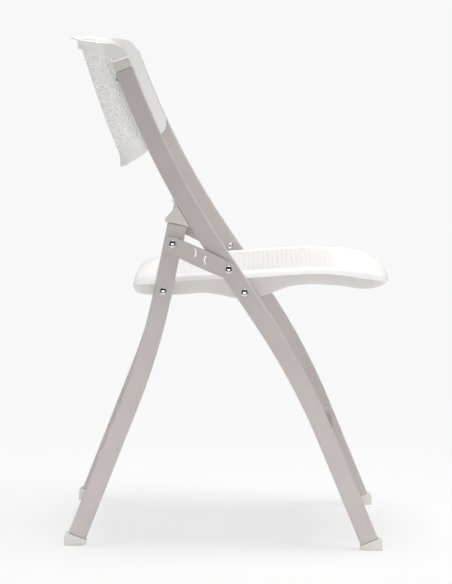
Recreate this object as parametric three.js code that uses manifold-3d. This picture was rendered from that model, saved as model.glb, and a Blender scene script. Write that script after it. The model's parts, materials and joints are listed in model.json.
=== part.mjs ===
// Folding chair with a bent steel tube frame and a moulded plastic seat and back.
// Millimetres. X points forward, Y to the sitter's left, Z up. The floor is Z = 0.
//
// Each side carries a four-bar linkage: front tube, seat, rear leg and link. Its pivots are
//   seatFront  seat on front tube        linkFront  link on front tube
//   seatRear   seat on rear leg          linkRear   link on rear leg
import * as THREE from 'three';
import { mergeVertices } from 'three/addons/utils/BufferGeometryUtils.js';
import Module from 'manifold-3d';

const wasm = await Module();
wasm.setup();

// ---------------------------------------------------------------- driving dimensions

// Across the chair
const overTubes = 445; // outer face to outer face of the frame tubes
const fit = 0.3; // gap left where two pieces touch
const washer = 2.4; // nylon washer between seat and tube
const spacer = 2.8; // nylon spacer between tube and link
const linkThick = 2.5;

// Tube section
const tubeDeep = 30;
const tubeWide = 15;
const tubeWall = 1.5;
const tubeCorner = 3;
const bendFacet = 48; // longest flat facet along a bend

// Pivots
const seatFront = { x: 27.4, z: 418.6 };
const seatRear = { x: -104.4, z: 418.6 };
const linkFront = { x: 1.3, z: 456.1 };
const linkRear = { x: -90, z: 496.2 };

// Front tube: lean from vertical at the seat pivot, with a bend above it and one below it
const frontLean = 34.6;
const uprightStraight = 84; // tube above the pivot before its bend starts
const uprightBend = 324;
const lowerStraight = 56; // tube below the pivot before its bend starts
const lowerBend = 222;
const frontAbove = [{ length: uprightStraight, bend: 0 }, { length: uprightBend, bend: -13.6 }];
const frontBelow = [{ length: lowerStraight, bend: 0 }, { length: lowerBend, bend: -11.3 }];
const uprightTop = 774.7; // height of the tube's upper end

// Rear leg: leans forward at the seat pivot, and bends to the rear below it
const rearLean = -10.8;
const rearBend = 189;
const rearAbove = [];
const rearBelow = [{ length: rearBend, bend: -9.85 }];
const rearTop = 527.2;

// Crossbars
const barDiameter = 19;
const barWall = 1.5;
const frontBarHeight = 163;
const rearBarHeight = 154;

// Rivets
const shankDiameter = 6.4;
const headDiameter = 12;
const headHeight = 2.3;
const headRim = 0.5; // straight edge under the dome
const clinchHeight = 2;
const washerDiameter = 20;

// Links
const linkWidth = 26.6;
const linkDrop = 1.8; // how far the strip's middle lies below the line between its pivots
const linkBulge = 1.6; // how far each long edge swells at mid length
const slotRadius = 12;
const slotWidth = 2;
const slotHalfAngle = 35;
const slotPlaces = [{ share: 0.404, turn: 0, above: 3 }, { share: 0.58, turn: 180, above: -2.3 }];

// Seat rails
const railThick = 3;
const railEnd = 8.5; // radius around each pivot
const railTop = 429;
const railUnder = 417.2; // lower edge between the pivots
const railRaised = 24; // distance from a pivot at which that edge is reached

// Upper caps
const capHeight = 17.5;
const capRound = 2.6;
const capCornerLeast = 0.6;
const plugLength = 20;
const capScrewDrop = 11; // below the tube end
const capScrewDiameter = 4;
const capScrewHead = { diameter: 6.6, height: 2.2 };

// Bumper caps on the rear legs
const bumperRise = 31;
const bumperRearLip = 5;
const bumperFrontLip = 4.6;
const bumperEdge = 5; // height of the rear lip's straight edge
const bumperShoulder = { rise: 0.8, back: 0.55 }; // what the round rear side is drawn toward

// Feet
const footLength = 36;
const footHeightFront = 14.2; // floor to the middle of the tube end
const footHeightRear = 16.2;
const footProud = 2; // how far a foot stands out past the sides of its tube
const footToe = { front: 0.6, rear: 3.4, share: 0.36 }; // lift of the sole's inner end, share of length
const footRound = 7; // radius of the outer end's top

// Seat
const seatGap = washer + 2 * fit; // seat side to tube
const seatWall = 3.4;
const seatBack = -154; // rearmost point of the seat, and the foremost
const seatNose = 266;
const seatCornerRear = 36; // corner radii in plan
const seatCornerNose = 60;
const seatNoseBow = 7; // how much further forward the middle of the front edge is
const seatEdgeRound = 11;
const seatDish = 5;
const seatTop = [[-154, 423], [-149, 427.4], [-144, 430], [-138, 432.6], [-128, 436], [-121, 437.6],
  [-100, 441], [-75, 444], [-59, 445.5], [14, 450], [60, 454], [115, 458], [143, 459.7], [189, 458.7],
  [233, 453.6], [248, 450], [258, 445.5], [264, 440], [266, 436]];
const seatSkirt = [[-154, 414], [-146, 410.5], [-104, 409], [-72, 412], [-38, 415], [-10, 411.5],
  [18, 406.8], [45, 409], [72, 417.5], [106, 428.8], [140, 432], [180, 430.5], [227, 425.5], [250, 427],
  [266, 431]];
const ribThick = 2.4;
const ribDeep = 12; // how far the ribs under the top stand out from the wall
const ribsAcross = [-92, 28, 148];
const ribsAlong = [-86, 0, 86];
const ribEnds = [-92, 218]; // where the ribs along the seat start and end
const ribBack = 20.5; // how far in from the sides of the seat the ribs across it stop

// Backrest
const backThick = 4;
const backFillet = 20; // where the end flange turns into the bowed panel
const backFlangeTurn = 13; // where, behind the tube's middle, that turn starts
const backFlangeFront = -14; // front edge of the flange
const backTop = { ends: 816, middle: 820.5 }; // height of the top edge
const backBottom = { ends: 653, middle: 643 }; // where the bottom edge crosses the tube's middle line
const backBow = [[664, 57], [822, 49.4]]; // bow behind the tubes, against height up the tube
const backLip = [[0, 11.5], [4, 11], [7, 6.5], [20, 5.5], [25, 0]]; // rearward step, down from the top
const backSkirt = [[0, 8], [22, 0]]; // rearward flare, up from the bottom edge
const backCornerTop = 22; // the flange's front corners
const backCornerBottom = 24;
const backScrewHeights = [690, 742];
const backScrewBack = 7.5; // behind the tube's middle
const backScrewDiameter = 4;
const backScrewHead = { diameter: 8, height: 1.8 };

// ---------------------------------------------------------------- finishes

const steelPaint = new THREE.MeshStandardMaterial({ color: 0xb4aaa6, roughness: 0.45, metalness: 0.1 });
const seatPlastic = new THREE.MeshStandardMaterial({ color: 0xf4f3f1, roughness: 0.5 });
const backPlastic = new THREE.MeshStandardMaterial({ color: 0xe9e9e7, roughness: 0.5 });
const capPlastic = new THREE.MeshStandardMaterial({ color: 0xc6c1bd, roughness: 0.55 });
const footPlastic = new THREE.MeshStandardMaterial({ color: 0xcdc6bd, roughness: 0.6 });
const chrome = new THREE.MeshStandardMaterial({ color: 0xc8c8c8, roughness: 0.2, metalness: 1 });
const zinc = new THREE.MeshStandardMaterial({ color: 0x8c8f90, roughness: 0.45, metalness: 0.9 });
const nylon = new THREE.MeshStandardMaterial({ color: 0xdedcd8, roughness: 0.6 });

// ---------------------------------------------------------------- helpers

const rad = THREE.MathUtils.degToRad;
const chair = new THREE.Group();

function piece(name, geometry, material) {
  const mesh = new THREE.Mesh(geometry, material);
  mesh.name = name;
  chair.add(mesh);
}

// A closed geometry as a manifold-3d solid, turned the right way out, and back again.
function toSolid(geometry) {
  const bare = new THREE.BufferGeometry();
  bare.setAttribute('position', geometry.getAttribute('position'));
  bare.setIndex(geometry.getIndex());
  const merged = mergeVertices(bare, 1e-4);
  const triangles = new Uint32Array(merged.getIndex().array);
  const points = new Float32Array(merged.getAttribute('position').array);
  const a = new THREE.Vector3();
  const b = new THREE.Vector3();
  const c = new THREE.Vector3();
  let volume = 0;
  for (let i = 0; i < triangles.length; i += 3) {
    a.fromArray(points, 3 * triangles[i]);
    b.fromArray(points, 3 * triangles[i + 1]);
    c.fromArray(points, 3 * triangles[i + 2]);
    volume += a.dot(b.cross(c));
  }
  if (volume < 0) {
    for (let i = 0; i < triangles.length; i += 3) {
      [triangles[i], triangles[i + 1]] = [triangles[i + 1], triangles[i]];
    }
  }
  return new wasm.Manifold(new wasm.Mesh({ numProp: 3, vertProperties: points, triVerts: triangles }));
}

function toGeometry(solid) {
  const mesh = solid.getMesh();
  const geometry = new THREE.BufferGeometry();
  geometry.setAttribute('position', new THREE.BufferAttribute(new Float32Array(mesh.vertProperties), 3));
  geometry.setIndex(new THREE.BufferAttribute(new Uint32Array(mesh.triVerts), 1));
  geometry.computeVertexNormals();
  return geometry;
}

const cut = (body, ...tools) => tools.reduce((left, tool) => left.subtract(tool), body);
const join = (first, ...others) => others.reduce((all, other) => all.add(other), first);

// A flat outline in X and Z given a thickness across the chair, from y0 to y1.
function acrossFrom(outline, y0, y1, curveSegments = 8) {
  const depth = y1 - y0;
  const geometry = new THREE.ExtrudeGeometry(outline, { depth, bevelEnabled: false, curveSegments });
  geometry.rotateX(Math.PI / 2); // outline Y becomes Z, depth runs toward -Y
  geometry.translate(0, y1, 0);
  return toSolid(geometry);
}

// A round bar along Y at a point of the side view.
function pin(at, diameter, y0, y1, sides = 12) {
  const geometry = new THREE.CylinderGeometry(diameter / 2, diameter / 2, y1 - y0, sides);
  geometry.translate(0, (y0 + y1) / 2, 0);
  geometry.translate(at.x, 0, at.z);
  return toSolid(geometry);
}

// A ring along Y, such as a washer.
function ring(at, outer, inner, y0, y1) {
  return cut(pin(at, outer, y0, y1, 18), pin(at, inner, y0 - 1, y1 + 1));
}

// The same solid on the other side of the chair.
const mirrored = (solid) => solid.mirror([0, 1, 0]);

// Places a piece on both sides. The solid is made on the left, where Y is above 0.
function bothSides(name, left, material) {
  piece(`${name}_left`, toGeometry(left), material);
  piece(`${name}_right`, toGeometry(mirrored(left)), material);
}

// A value read off a line of [place, value] pairs.
function along(table, place) {
  if (place <= table[0][0]) return table[0][1];
  for (let i = 1; i < table.length; i += 1) {
    const [x1, y1] = table[i];
    if (place <= x1) {
      const [x0, y0] = table[i - 1];
      return y0 + ((y1 - y0) * (place - x0)) / (x1 - x0);
    }
  }
  return table[table.length - 1][1];
}

// ---------------------------------------------------------------- tube centre lines

// A point of a bent tube's centre line, s millimetres up the tube from its anchor. Lean is measured
// from vertical, positive with the top toward the rear.
function pointOn(line, s) {
  const up = Math.sign(s) || 1;
  let rest = Math.abs(s);
  let { x, z } = line.anchor;
  let lean = rad(line.lean);
  for (const { length, bend } of up > 0 ? line.above : line.below) {
    const step = Math.min(rest, length);
    const turn = (rad(bend) * step) / length;
    if (turn === 0) {
      x -= up * Math.sin(lean) * step;
      z += up * Math.cos(lean) * step;
    } else {
      const radius = step / turn;
      x += up * radius * (Math.cos(lean + turn) - Math.cos(lean));
      z += up * radius * (Math.sin(lean + turn) - Math.sin(lean));
    }
    lean += turn;
    rest -= step;
  }
  x -= up * Math.sin(lean) * rest;
  z += up * Math.cos(lean) * rest;
  return { x, z, lean };
}

// How far up the tube its centre line reaches a height.
function reach(line, height) {
  let low = -1500;
  let high = 1500;
  while (high - low > 1e-4) {
    const middle = (low + high) / 2;
    if (pointOn(line, middle).z < height) low = middle;
    else high = middle;
  }
  return (low + high) / 2;
}

// A point beside a centre line: back is to the rear of it, square to the tube.
function beside(line, s, back) {
  const { x, z, lean } = pointOn(line, s);
  return { x: x - back * Math.cos(lean), z: z - back * Math.sin(lean), lean };
}

const frontLine = { anchor: seatFront, lean: frontLean, above: frontAbove, below: frontBelow };
const rearLine = { anchor: seatRear, lean: rearLean, above: rearAbove, below: rearBelow };

// Places along a centre line from one end of a stretch to the other: the ends of each bend, and
// evenly spaced places within it.
function marksOn(line, from, to) {
  const marks = [from, to];
  [[line.above, 1], [line.below, -1]].forEach(([lengths, up]) => {
    let s = 0;
    lengths.forEach(({ length, bend }) => {
      const facets = bend === 0 ? 1 : Math.ceil(length / bendFacet);
      for (let i = 0; i <= facets; i += 1) {
        const mark = up * (s + (length * i) / facets);
        if (bend !== 0 && mark > from + 1 && mark < to - 1) marks.push(mark);
      }
      s += length;
    });
  });
  return [...new Set(marks)].sort((a, b) => a - b);
}

// The centre line between two places, as a curve for an extrusion with one step for each mark.
class Stretch extends THREE.Curve {
  constructor(line, from, to, y) {
    super();
    Object.assign(this, { line, y, marks: marksOn(line, from, to) });
  }

  getPoint(t, target = new THREE.Vector3()) {
    const steps = this.marks.length - 1;
    const i = Math.min(Math.floor(t * steps), steps - 1);
    const s = this.marks[i] + (this.marks[i + 1] - this.marks[i]) * (t * steps - i);
    const { x, z } = pointOn(this.line, s);
    return target.set(x, this.y, z);
  }

  getUtoTmapping(u) {
    return u; // the marks set the spacing
  }
}

// A rectangle with round corners. Its first side lies across the chair.
function roundedSection(wide, deep, corner) {
  const shape = new THREE.Shape();
  const w = wide / 2 - corner;
  const d = deep / 2 - corner;
  shape.absarc(w, d, corner, 0, Math.PI / 2);
  shape.absarc(-w, d, corner, Math.PI / 2, Math.PI);
  shape.absarc(-w, -d, corner, Math.PI, 1.5 * Math.PI);
  shape.absarc(w, -d, corner, 1.5 * Math.PI, 2 * Math.PI);
  return shape;
}

const tubeY = overTubes / 2 - tubeWide / 2;
const tubeOuterY = overTubes / 2;
const tubeInnerY = overTubes / 2 - tubeWide;
const boreWide = tubeWide - 2 * tubeWall;
const boreDeep = tubeDeep - 2 * tubeWall;
const boreCorner = tubeCorner - tubeWall;

function sweep(section, line, from, to, curveSegments = 2) {
  const extrudePath = new Stretch(line, from, to, tubeY);
  const settings = { steps: extrudePath.marks.length - 1, curveSegments, bevelEnabled: false, extrudePath };
  return toSolid(new THREE.ExtrudeGeometry(section, settings));
}

function hollowTube(line, from, to) {
  const bore = roundedSection(boreWide, boreDeep, boreCorner);
  return cut(sweep(roundedSection(tubeWide, tubeDeep, tubeCorner), line, from, to),
    sweep(bore, line, from - 1, to + 1, 1));
}

// ---------------------------------------------------------------- layers across the left side

const holeDiameter = shankDiameter + 2 * fit;
const seatOuterY = tubeInnerY - seatGap;
const seatInnerY = seatOuterY - seatWall;
const railOuterY = seatInnerY - fit;
const railInnerY = railOuterY - railThick;
const washerInnerY = seatOuterY + fit;
const spacerInnerY = tubeOuterY + fit;
const linkInnerY = spacerInnerY + spacer + fit;
const linkOuterY = linkInnerY + linkThick;

const throughHole = (at) => pin(at, holeDiameter, railInnerY - 5, linkOuterY + 5);

// ---------------------------------------------------------------- frame tubes and crossbars

const frontTop = reach(frontLine, uprightTop);
const frontEnd = reach(frontLine, footHeightFront);
const rearUpper = reach(rearLine, rearTop);
const rearEnd = reach(rearLine, footHeightRear);

// Screw holes of an upright: the cap screw enters from behind, the backrest screws from the inside.
const capScrewPlace = frontTop - capScrewDrop;

// A round bar square to the tube, entering its rear face.
function fromBehind(line, s, diameter, back0, back1, sides = 12) {
  const { x, z, lean } = beside(line, s, (back0 + back1) / 2);
  const geometry = new THREE.CylinderGeometry(diameter / 2, diameter / 2, back1 - back0, sides);
  geometry.rotateZ(Math.PI / 2);
  geometry.rotateY(-lean);
  geometry.translate(x, tubeY, z);
  return toSolid(geometry);
}

const backScrewPlaces = backScrewHeights.map((height) => {
  const { x, z } = beside(frontLine, reach(frontLine, height), backScrewBack);
  return { x, z };
});

const backScrewHoles = backScrewPlaces.map(
  (at) => pin(at, backScrewDiameter + 2 * fit, tubeInnerY - 10, tubeInnerY + tubeWall + 1, 12));

const frontTube = cut(hollowTube(frontLine, frontEnd, frontTop),
  throughHole(seatFront), throughHole(linkFront), ...backScrewHoles,
  fromBehind(frontLine, capScrewPlace, capScrewDiameter + 2 * fit, boreDeep / 2 - 1, tubeDeep / 2 + 1));
bothSides('front_tube', frontTube, steelPaint);

// The link's rivet is not carried into the rear leg, so the leg has no hole there.
const rearTube = cut(hollowTube(rearLine, rearEnd, rearUpper), throughHole(seatRear));
bothSides('rear_leg', rearTube, steelPaint);

function crossbar(name, line, height) {
  const at = pointOn(line, reach(line, height));
  const half = tubeInnerY - fit;
  const bar = cut(pin(at, barDiameter, -half, half, 24),
    pin(at, barDiameter - 2 * barWall, -half - 1, half + 1, 16));
  piece(name, toGeometry(bar), steelPaint);
}
crossbar('front_crossbar', frontLine, frontBarHeight);
crossbar('rear_crossbar', rearLine, rearBarHeight);

// ---------------------------------------------------------------- rivets, washers, spacers

// A domed head that sits on the face y0 and swells outward.
function dome(at, y0, height) {
  const profile = [new THREE.Vector2(0, 0)];
  const steps = 3;
  for (let i = 0; i <= steps; i += 1) {
    const angle = (Math.PI / 2) * (i / steps);
    const rise = headRim + (height - headRim) * Math.sin(angle);
    profile.push(new THREE.Vector2((headDiameter / 2) * Math.cos(angle), rise));
  }
  profile[profile.length - 1].x = 0;
  profile.splice(1, 0, new THREE.Vector2(headDiameter / 2, 0));
  const geometry = new THREE.LatheGeometry(profile, 16); // swells along +Y
  geometry.translate(at.x, y0, at.z);
  return toSolid(geometry);
}

// A rivet from its clinched inner end at y0 to the seat of its head at y1.
function rivet(at, y0, y1) {
  return join(pin(at, shankDiameter, y0, y1 + 0.5), dome(at, y1, headHeight),
    pin(at, headDiameter - 2, y0 - clinchHeight, y0));
}

const tubeFace = tubeOuterY + fit; // where a head sits on a tube
const linkFace = linkOuterY + fit; // and on a link

bothSides('seat_front_rivet', rivet(seatFront, railInnerY - fit, tubeFace), chrome);
bothSides('seat_rear_rivet', rivet(seatRear, railInnerY - fit, tubeFace), chrome);
bothSides('link_front_rivet', rivet(linkFront, tubeInnerY - fit, linkFace), chrome);

// This rivet ends at the face of the rear leg, where the linkage is open.
bothSides('link_rear_rivet', join(pin(linkRear, shankDiameter, spacerInnerY, linkFace + 0.5),
  dome(linkRear, linkFace, headHeight)), chrome);

const washerAt = (at) => ring(at, washerDiameter, holeDiameter, washerInnerY, washerInnerY + washer);
bothSides('seat_front_washer', washerAt(seatFront), nylon);
bothSides('seat_rear_washer', washerAt(seatRear), nylon);

const spacerAt = (at) => ring(at, washerDiameter, holeDiameter, spacerInnerY, spacerInnerY + spacer);
bothSides('link_front_spacer', spacerAt(linkFront), nylon);
bothSides('link_rear_spacer', spacerAt(linkRear), nylon);

// ---------------------------------------------------------------- links

// Points of a circular arc that joins two others and swells to one side.
function swollenEdge(from, to, bulge, count = 5) {
  const chord = to.clone().sub(from);
  const side = new THREE.Vector2(-chord.y, chord.x).normalize();
  return Array.from({ length: count - 1 }, (_, i) => {
    const t = (i + 1) / count;
    return from.clone().addScaledVector(chord, t).addScaledVector(side, 4 * bulge * t * (1 - t));
  });
}

function linkOutline() {
  const front = new THREE.Vector2(linkFront.x, linkFront.z);
  const rear = new THREE.Vector2(linkRear.x, linkRear.z);
  const radius = linkWidth / 2;
  const axis = front.clone().sub(rear).angle();
  const drop = new THREE.Vector2(linkDrop * Math.sin(axis), -linkDrop * Math.cos(axis));
  front.add(drop);
  rear.add(drop);
  const around = (centre, angle) => centre.clone().add(
    new THREE.Vector2(radius * Math.cos(angle), radius * Math.sin(angle)));
  const facets = 10;
  const endArc = (centre, from) => Array.from({ length: facets + 1 },
    (_, i) => around(centre, from + (Math.PI * i) / facets));
  const frontArc = endArc(front, axis - Math.PI / 2);
  const rearArc = endArc(rear, axis + Math.PI / 2);
  return new THREE.Shape([
    ...frontArc, ...swollenEdge(frontArc[facets], rearArc[0], -linkBulge),
    ...rearArc, ...swollenEdge(rearArc[facets], frontArc[0], -linkBulge)]);
}

// A thin crescent-shaped slot beside the line between the link's pivots.
function slotOutline({ share, turn, above }) {
  const span = { x: linkFront.x - linkRear.x, z: linkFront.z - linkRear.z };
  const length = Math.hypot(span.x, span.z);
  const centre = {
    x: linkRear.x + span.x * share - (span.z / length) * above,
    z: linkRear.z + span.z * share + (span.x / length) * above,
  };
  const half = rad(slotHalfAngle);
  const outline = new THREE.Shape();
  outline.absarc(0, 0, slotRadius + slotWidth / 2, -half, half, false);
  outline.absarc(0, 0, slotRadius - slotWidth / 2, half, -half, true);
  const turned = outline.extractPoints(3).shape.map((point) => point
    .sub(new THREE.Vector2(slotRadius, 0))
    .rotateAround(new THREE.Vector2(), rad(turn))
    .add(new THREE.Vector2(centre.x, centre.z)));
  return new THREE.Shape(turned);
}

const slots = slotPlaces.map((place) => acrossFrom(slotOutline(place), linkInnerY - 1, linkOuterY + 1));
const link = cut(acrossFrom(linkOutline(), linkInnerY, linkOuterY),
  throughHole(linkFront), throughHole(linkRear), ...slots);
bothSides('link', link, steelPaint);

// ---------------------------------------------------------------- upper caps

// The head follows the tube's section, with its top edge rounded, and its plug fills the bore.
const capSection = (inset) => roundedSection(
  tubeWide - 2 * inset, tubeDeep - 2 * inset, Math.max(tubeCorner - inset, capCornerLeast));
const capBase = frontTop + fit;
const capTop = capBase + capHeight;
const plugSection = roundedSection(boreWide - 2 * fit, boreDeep - 2 * fit, boreCorner);
const capScrewHole = fromBehind(frontLine, capScrewPlace, capScrewDiameter + 2 * fit, -2, tubeDeep);
const upperCap = cut(join(
  sweep(capSection(0), frontLine, capBase, capTop - capRound),
  sweep(capSection(capRound * 0.3), frontLine, capBase, capTop - capRound * 0.4),
  sweep(capSection(capRound), frontLine, capBase, capTop),
  sweep(plugSection, frontLine, frontTop - plugLength, capBase + 1, 1),
), capScrewHole);
bothSides('upper_cap', upperCap, capPlastic);

const capScrewFace = tubeDeep / 2 + fit;
const capScrew = join(
  fromBehind(frontLine, capScrewPlace, capScrewDiameter, -1, capScrewFace + 0.5),
  fromBehind(frontLine, capScrewPlace, capScrewHead.diameter,
    capScrewFace, capScrewFace + capScrewHead.height, 16));
bothSides('cap_screw', capScrew, zinc);

// ---------------------------------------------------------------- bumper caps

// The side view of a bumper: flat on the tube end, round to the rear, and cut along the upright.
function bumperOutline() {
  const half = tubeDeep / 2;
  const base = rearUpper + fit;
  const place = (s, back) => {
    const { x, z } = beside(rearLine, s, back);
    return new THREE.Vector2(x, z);
  };
  // the upright's rear face at a height
  const uprightFace = (height) => {
    const { lean } = pointOn(frontLine, reach(frontLine, height));
    const s = reach(frontLine, height + half * Math.sin(lean));
    const { x, z } = beside(frontLine, s, half + fit);
    return new THREE.Vector2(x, z);
  };
  const heel = place(base, half + bumperRearLip - 1);
  const tip = place(base + bumperEdge, half + bumperRearLip);
  const toe = place(base, -half - bumperFrontLip);
  const corner = uprightFace(toe.y + 2);
  const peak = uprightFace(pointOn(rearLine, base).z + bumperRise);
  const shoulder = place(base + bumperRise * bumperShoulder.rise, half * bumperShoulder.back);
  const shape = new THREE.Shape();
  shape.moveTo(heel.x, heel.y);
  shape.lineTo(toe.x, toe.y);
  shape.lineTo(corner.x, corner.y);
  shape.lineTo(peak.x, peak.y);
  shape.quadraticCurveTo(shoulder.x, shoulder.y, tip.x, tip.y);
  shape.lineTo(heel.x, heel.y);
  return shape;
}

const bumper = join(acrossFrom(bumperOutline(), tubeInnerY, tubeOuterY, 6),
  sweep(plugSection, rearLine, rearUpper - plugLength, rearUpper + fit + 1, 1));
bothSides('rear_bumper', bumper, capPlastic);

// ---------------------------------------------------------------- feet

// The side view of a foot: flat on the floor, with its sloping top square to the tube.
function footOutline(line, end, outward, toe) {
  const half = tubeDeep / 2;
  const outer = beside(line, end - fit, -outward * half);
  const inner = beside(line, end - fit, outward * half);
  const heelX = inner.x - outward;
  const tipX = heelX + outward * footLength;
  const round = Math.min(footRound, outer.z * 0.4);
  const shape = new THREE.Shape();
  shape.moveTo(heelX, toe);
  shape.lineTo(heelX + outward * footLength * footToe.share, 0);
  shape.lineTo(tipX, 0);
  shape.lineTo(tipX, outer.z - round - 1);
  shape.quadraticCurveTo(tipX, outer.z + 1, tipX - outward * round, outer.z + 1);
  shape.lineTo(outer.x, outer.z);
  shape.lineTo(inner.x, inner.z);
  shape.lineTo(heelX, inner.z - 1);
  shape.lineTo(heelX, toe);
  return shape;
}

function foot(name, line, end, outward, toe) {
  const outline = footOutline(line, end, outward, toe);
  const sole = acrossFrom(outline, tubeInnerY - footProud, tubeOuterY + footProud, 5);
  const plug = sweep(plugSection, line, end - fit - 1, end + plugLength, 1);
  bothSides(name, join(sole, plug), footPlastic);
}
foot('front_foot', frontLine, frontEnd, 1, footToe.front);
foot('rear_foot', rearLine, rearEnd, -1, footToe.rear);

// ---------------------------------------------------------------- seat

// The half width of the seat at a place along it, less an inset all round.
function seatHalfWidth(x, inset) {
  const full = seatOuterY - inset;
  const fromBack = x - (seatBack + inset);
  const fromNose = seatNose - inset - x;
  const narrow = (distance, planCorner) => {
    const corner = planCorner - inset;
    if (distance >= corner) return 0;
    const r = corner - Math.max(distance, 0);
    return corner - Math.sqrt(corner * corner - r * r);
  };
  return full - narrow(fromBack, seatCornerRear) - narrow(fromNose, seatCornerNose);
}

// A solid filling the seat's outline: rings across the seat, joined from back to front.
function seatBody(inset, floorDrop) {
  const stations = [];
  const from = seatBack + inset;
  const to = seatNose - inset;
  const cornerSteps = 6;
  const intoCorner = (corner, i) => {
    const share = (i + 0.2) / (cornerSteps + 0.2);
    return (corner - inset) * (1 - Math.cos((Math.PI / 2) * share));
  };
  const straightFrom = from + seatCornerRear - inset;
  const straightTo = to - seatCornerNose + inset;
  const straightSteps = Math.ceil((straightTo - straightFrom) / 26);
  for (let i = 0; i < cornerSteps; i += 1) stations.push(from + intoCorner(seatCornerRear, i));
  for (let i = 0; i <= straightSteps; i += 1) {
    stations.push(straightFrom + ((straightTo - straightFrom) * i) / straightSteps);
  }
  for (let i = cornerSteps - 1; i >= 0; i -= 1) stations.push(to - intoCorner(seatCornerNose, i));
  const across = 5;
  const dished = [-0.55, 0, 0.55]; // places on the dished top, as shares of the half width
  const positions = [];
  const ringSize = 2 * across + 2 + dished.length;
  stations.forEach((x) => {
    const half = seatHalfWidth(x, inset);
    const top = along(seatTop, x) - inset;
    const bottom = along(seatSkirt, x) - floorDrop;
    const round = Math.min(Math.max(seatEdgeRound - inset, 0.6), half * 0.5, (top - bottom) * 0.5);
    const bowAt = (y) => {
      const nose = Math.max(0, (x - 60) / (seatNose - 60));
      return -seatNoseBow * nose * nose * (y / seatOuterY) ** 2;
    };
    const put = (y, z) => positions.push(x + bowAt(y), y, z);
    const dish = seatDish * Math.min(1, (half - round) / (seatOuterY * 0.9)) ** 2;
    put(-half, bottom);
    for (let i = 0; i < across; i += 1) {
      const angle = (Math.PI / 2) * (i / (across - 1));
      put(-half + round * (1 - Math.cos(angle)), top - round * (1 - Math.sin(angle)));
    }
    dished.forEach((share) => put(share * half, top - dish * (1 - share * share)));
    for (let i = across - 1; i >= 0; i -= 1) {
      const angle = (Math.PI / 2) * (i / (across - 1));
      put(half - round * (1 - Math.cos(angle)), top - round * (1 - Math.sin(angle)));
    }
    put(half, bottom);
  });
  const index = [];
  const last = stations.length - 1;
  for (let s = 0; s < last; s += 1) {
    for (let i = 0; i < ringSize; i += 1) {
      const j = (i + 1) % ringSize;
      const a = s * ringSize + i;
      const b = s * ringSize + j;
      index.push(a, b, b + ringSize, a, b + ringSize, a + ringSize);
    }
  }
  for (let i = 1; i < ringSize - 1; i += 1) {
    index.push(0, i + 1, i);
    index.push(last * ringSize, last * ringSize + i, last * ringSize + i + 1);
  }
  const geometry = new THREE.BufferGeometry();
  geometry.setAttribute('position', new THREE.Float32BufferAttribute(positions, 3));
  geometry.setIndex(index);
  return toSolid(geometry);
}

const seatOpenDepth = 30; // carries the hollow out past the skirt's lower edge
const seatHoles = [seatFront, seatRear].map(throughHole);
const seatShell = cut(seatBody(0, 0), seatBody(seatWall, seatOpenDepth));
const seatHollow = cut(seatShell, ...seatHoles, ...seatHoles.map(mirrored));

// An upright slab between two places along the seat and two across it, tall enough to pass through it.
function slab(x0, x1, y0, y1) {
  const low = 380;
  const high = 480;
  const geometry = new THREE.BoxGeometry(x1 - x0, y1 - y0, high - low);
  geometry.translate((x0 + x1) / 2, (y0 + y1) / 2, (low + high) / 2);
  return toSolid(geometry);
}

// The ribs' lower edges follow the dished top: an inner copy of the seat is cut away below them.
const half = ribThick / 2;
const ribReach = seatOuterY - ribBack;
const slabs = [
  ...ribsAcross.map((x) => slab(x - half, x + half, -ribReach, ribReach)),
  ...ribsAlong.map((y) => slab(ribEnds[0], ribEnds[1], y - half, y + half)),
];
const ribBand = join(...slabs).intersect(seatBody(seatWall * 0.5, seatOpenDepth));
const ribs = cut(ribBand, seatBody(seatWall + ribDeep, seatOpenDepth + 5));
piece('seat_pan', toGeometry(join(seatHollow, ribs)), seatPlastic);

// A flat bar inside the skirt, from one seat pivot to the other, its lower edge raised between them.
function railOutline() {
  const upper = railTop - railEnd / 2;
  const shape = new THREE.Shape();
  shape.absarc(seatFront.x, seatFront.z, railEnd, (4 / 3) * Math.PI, 2 * Math.PI);
  shape.lineTo(seatFront.x + railEnd, upper);
  shape.lineTo(seatFront.x + railEnd / 2, railTop);
  shape.lineTo(seatRear.x - railEnd / 2, railTop);
  shape.lineTo(seatRear.x - railEnd, upper);
  shape.absarc(seatRear.x, seatRear.z, railEnd, Math.PI, (5 / 3) * Math.PI);
  shape.lineTo(seatRear.x + railRaised, railUnder);
  shape.lineTo(seatFront.x - railRaised, railUnder);
  return shape;
}
const railBlank = acrossFrom(railOutline(), railInnerY, railOuterY, 5);
const rail = cut(railBlank, throughHole(seatFront), throughHole(seatRear));
bothSides('seat_rail', rail, zinc);

// ---------------------------------------------------------------- backrest

const flangeShare = 0.14; // shares of the way round at which the flange and the fillet end
const filletShare = 0.34;

// The bowed panel's section at one height: flange, fillet, then one arc to the middle of the chair.
// Returns how far across and how far behind the tube's middle line a share of the way round lies.
function backSection(bow, inset) {
  const flangeY = tubeInnerY - fit - inset;
  const fillet = backFillet - inset;
  const centreY = tubeInnerY - fit - backFillet;
  const deepest = tubeDeep / 2 + bow;
  const k = backFlangeTurn - deepest;
  const radius = (centreY ** 2 + k ** 2 - backFillet ** 2) / (-2 * (backFillet + k));
  const arcCentre = deepest - radius;
  const meet = Math.atan2(centreY, backFlangeTurn - arcCentre); // half angle of the long arc
  return (share) => {
    if (share < flangeShare) {
      const reached = share / flangeShare;
      return { y: flangeY, back: backFlangeFront + (backFlangeTurn - backFlangeFront) * reached };
    }
    if (share < filletShare) {
      const angle = (Math.PI / 2 - meet) * ((share - flangeShare) / (filletShare - flangeShare));
      return { y: centreY + fillet * Math.cos(angle), back: backFlangeTurn + fillet * Math.sin(angle) };
    }
    const angle = meet * (1 - (share - filletShare) / (1 - filletShare));
    return { y: (radius - inset) * Math.sin(angle), back: arcCentre + (radius - inset) * Math.cos(angle) };
  };
}

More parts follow.
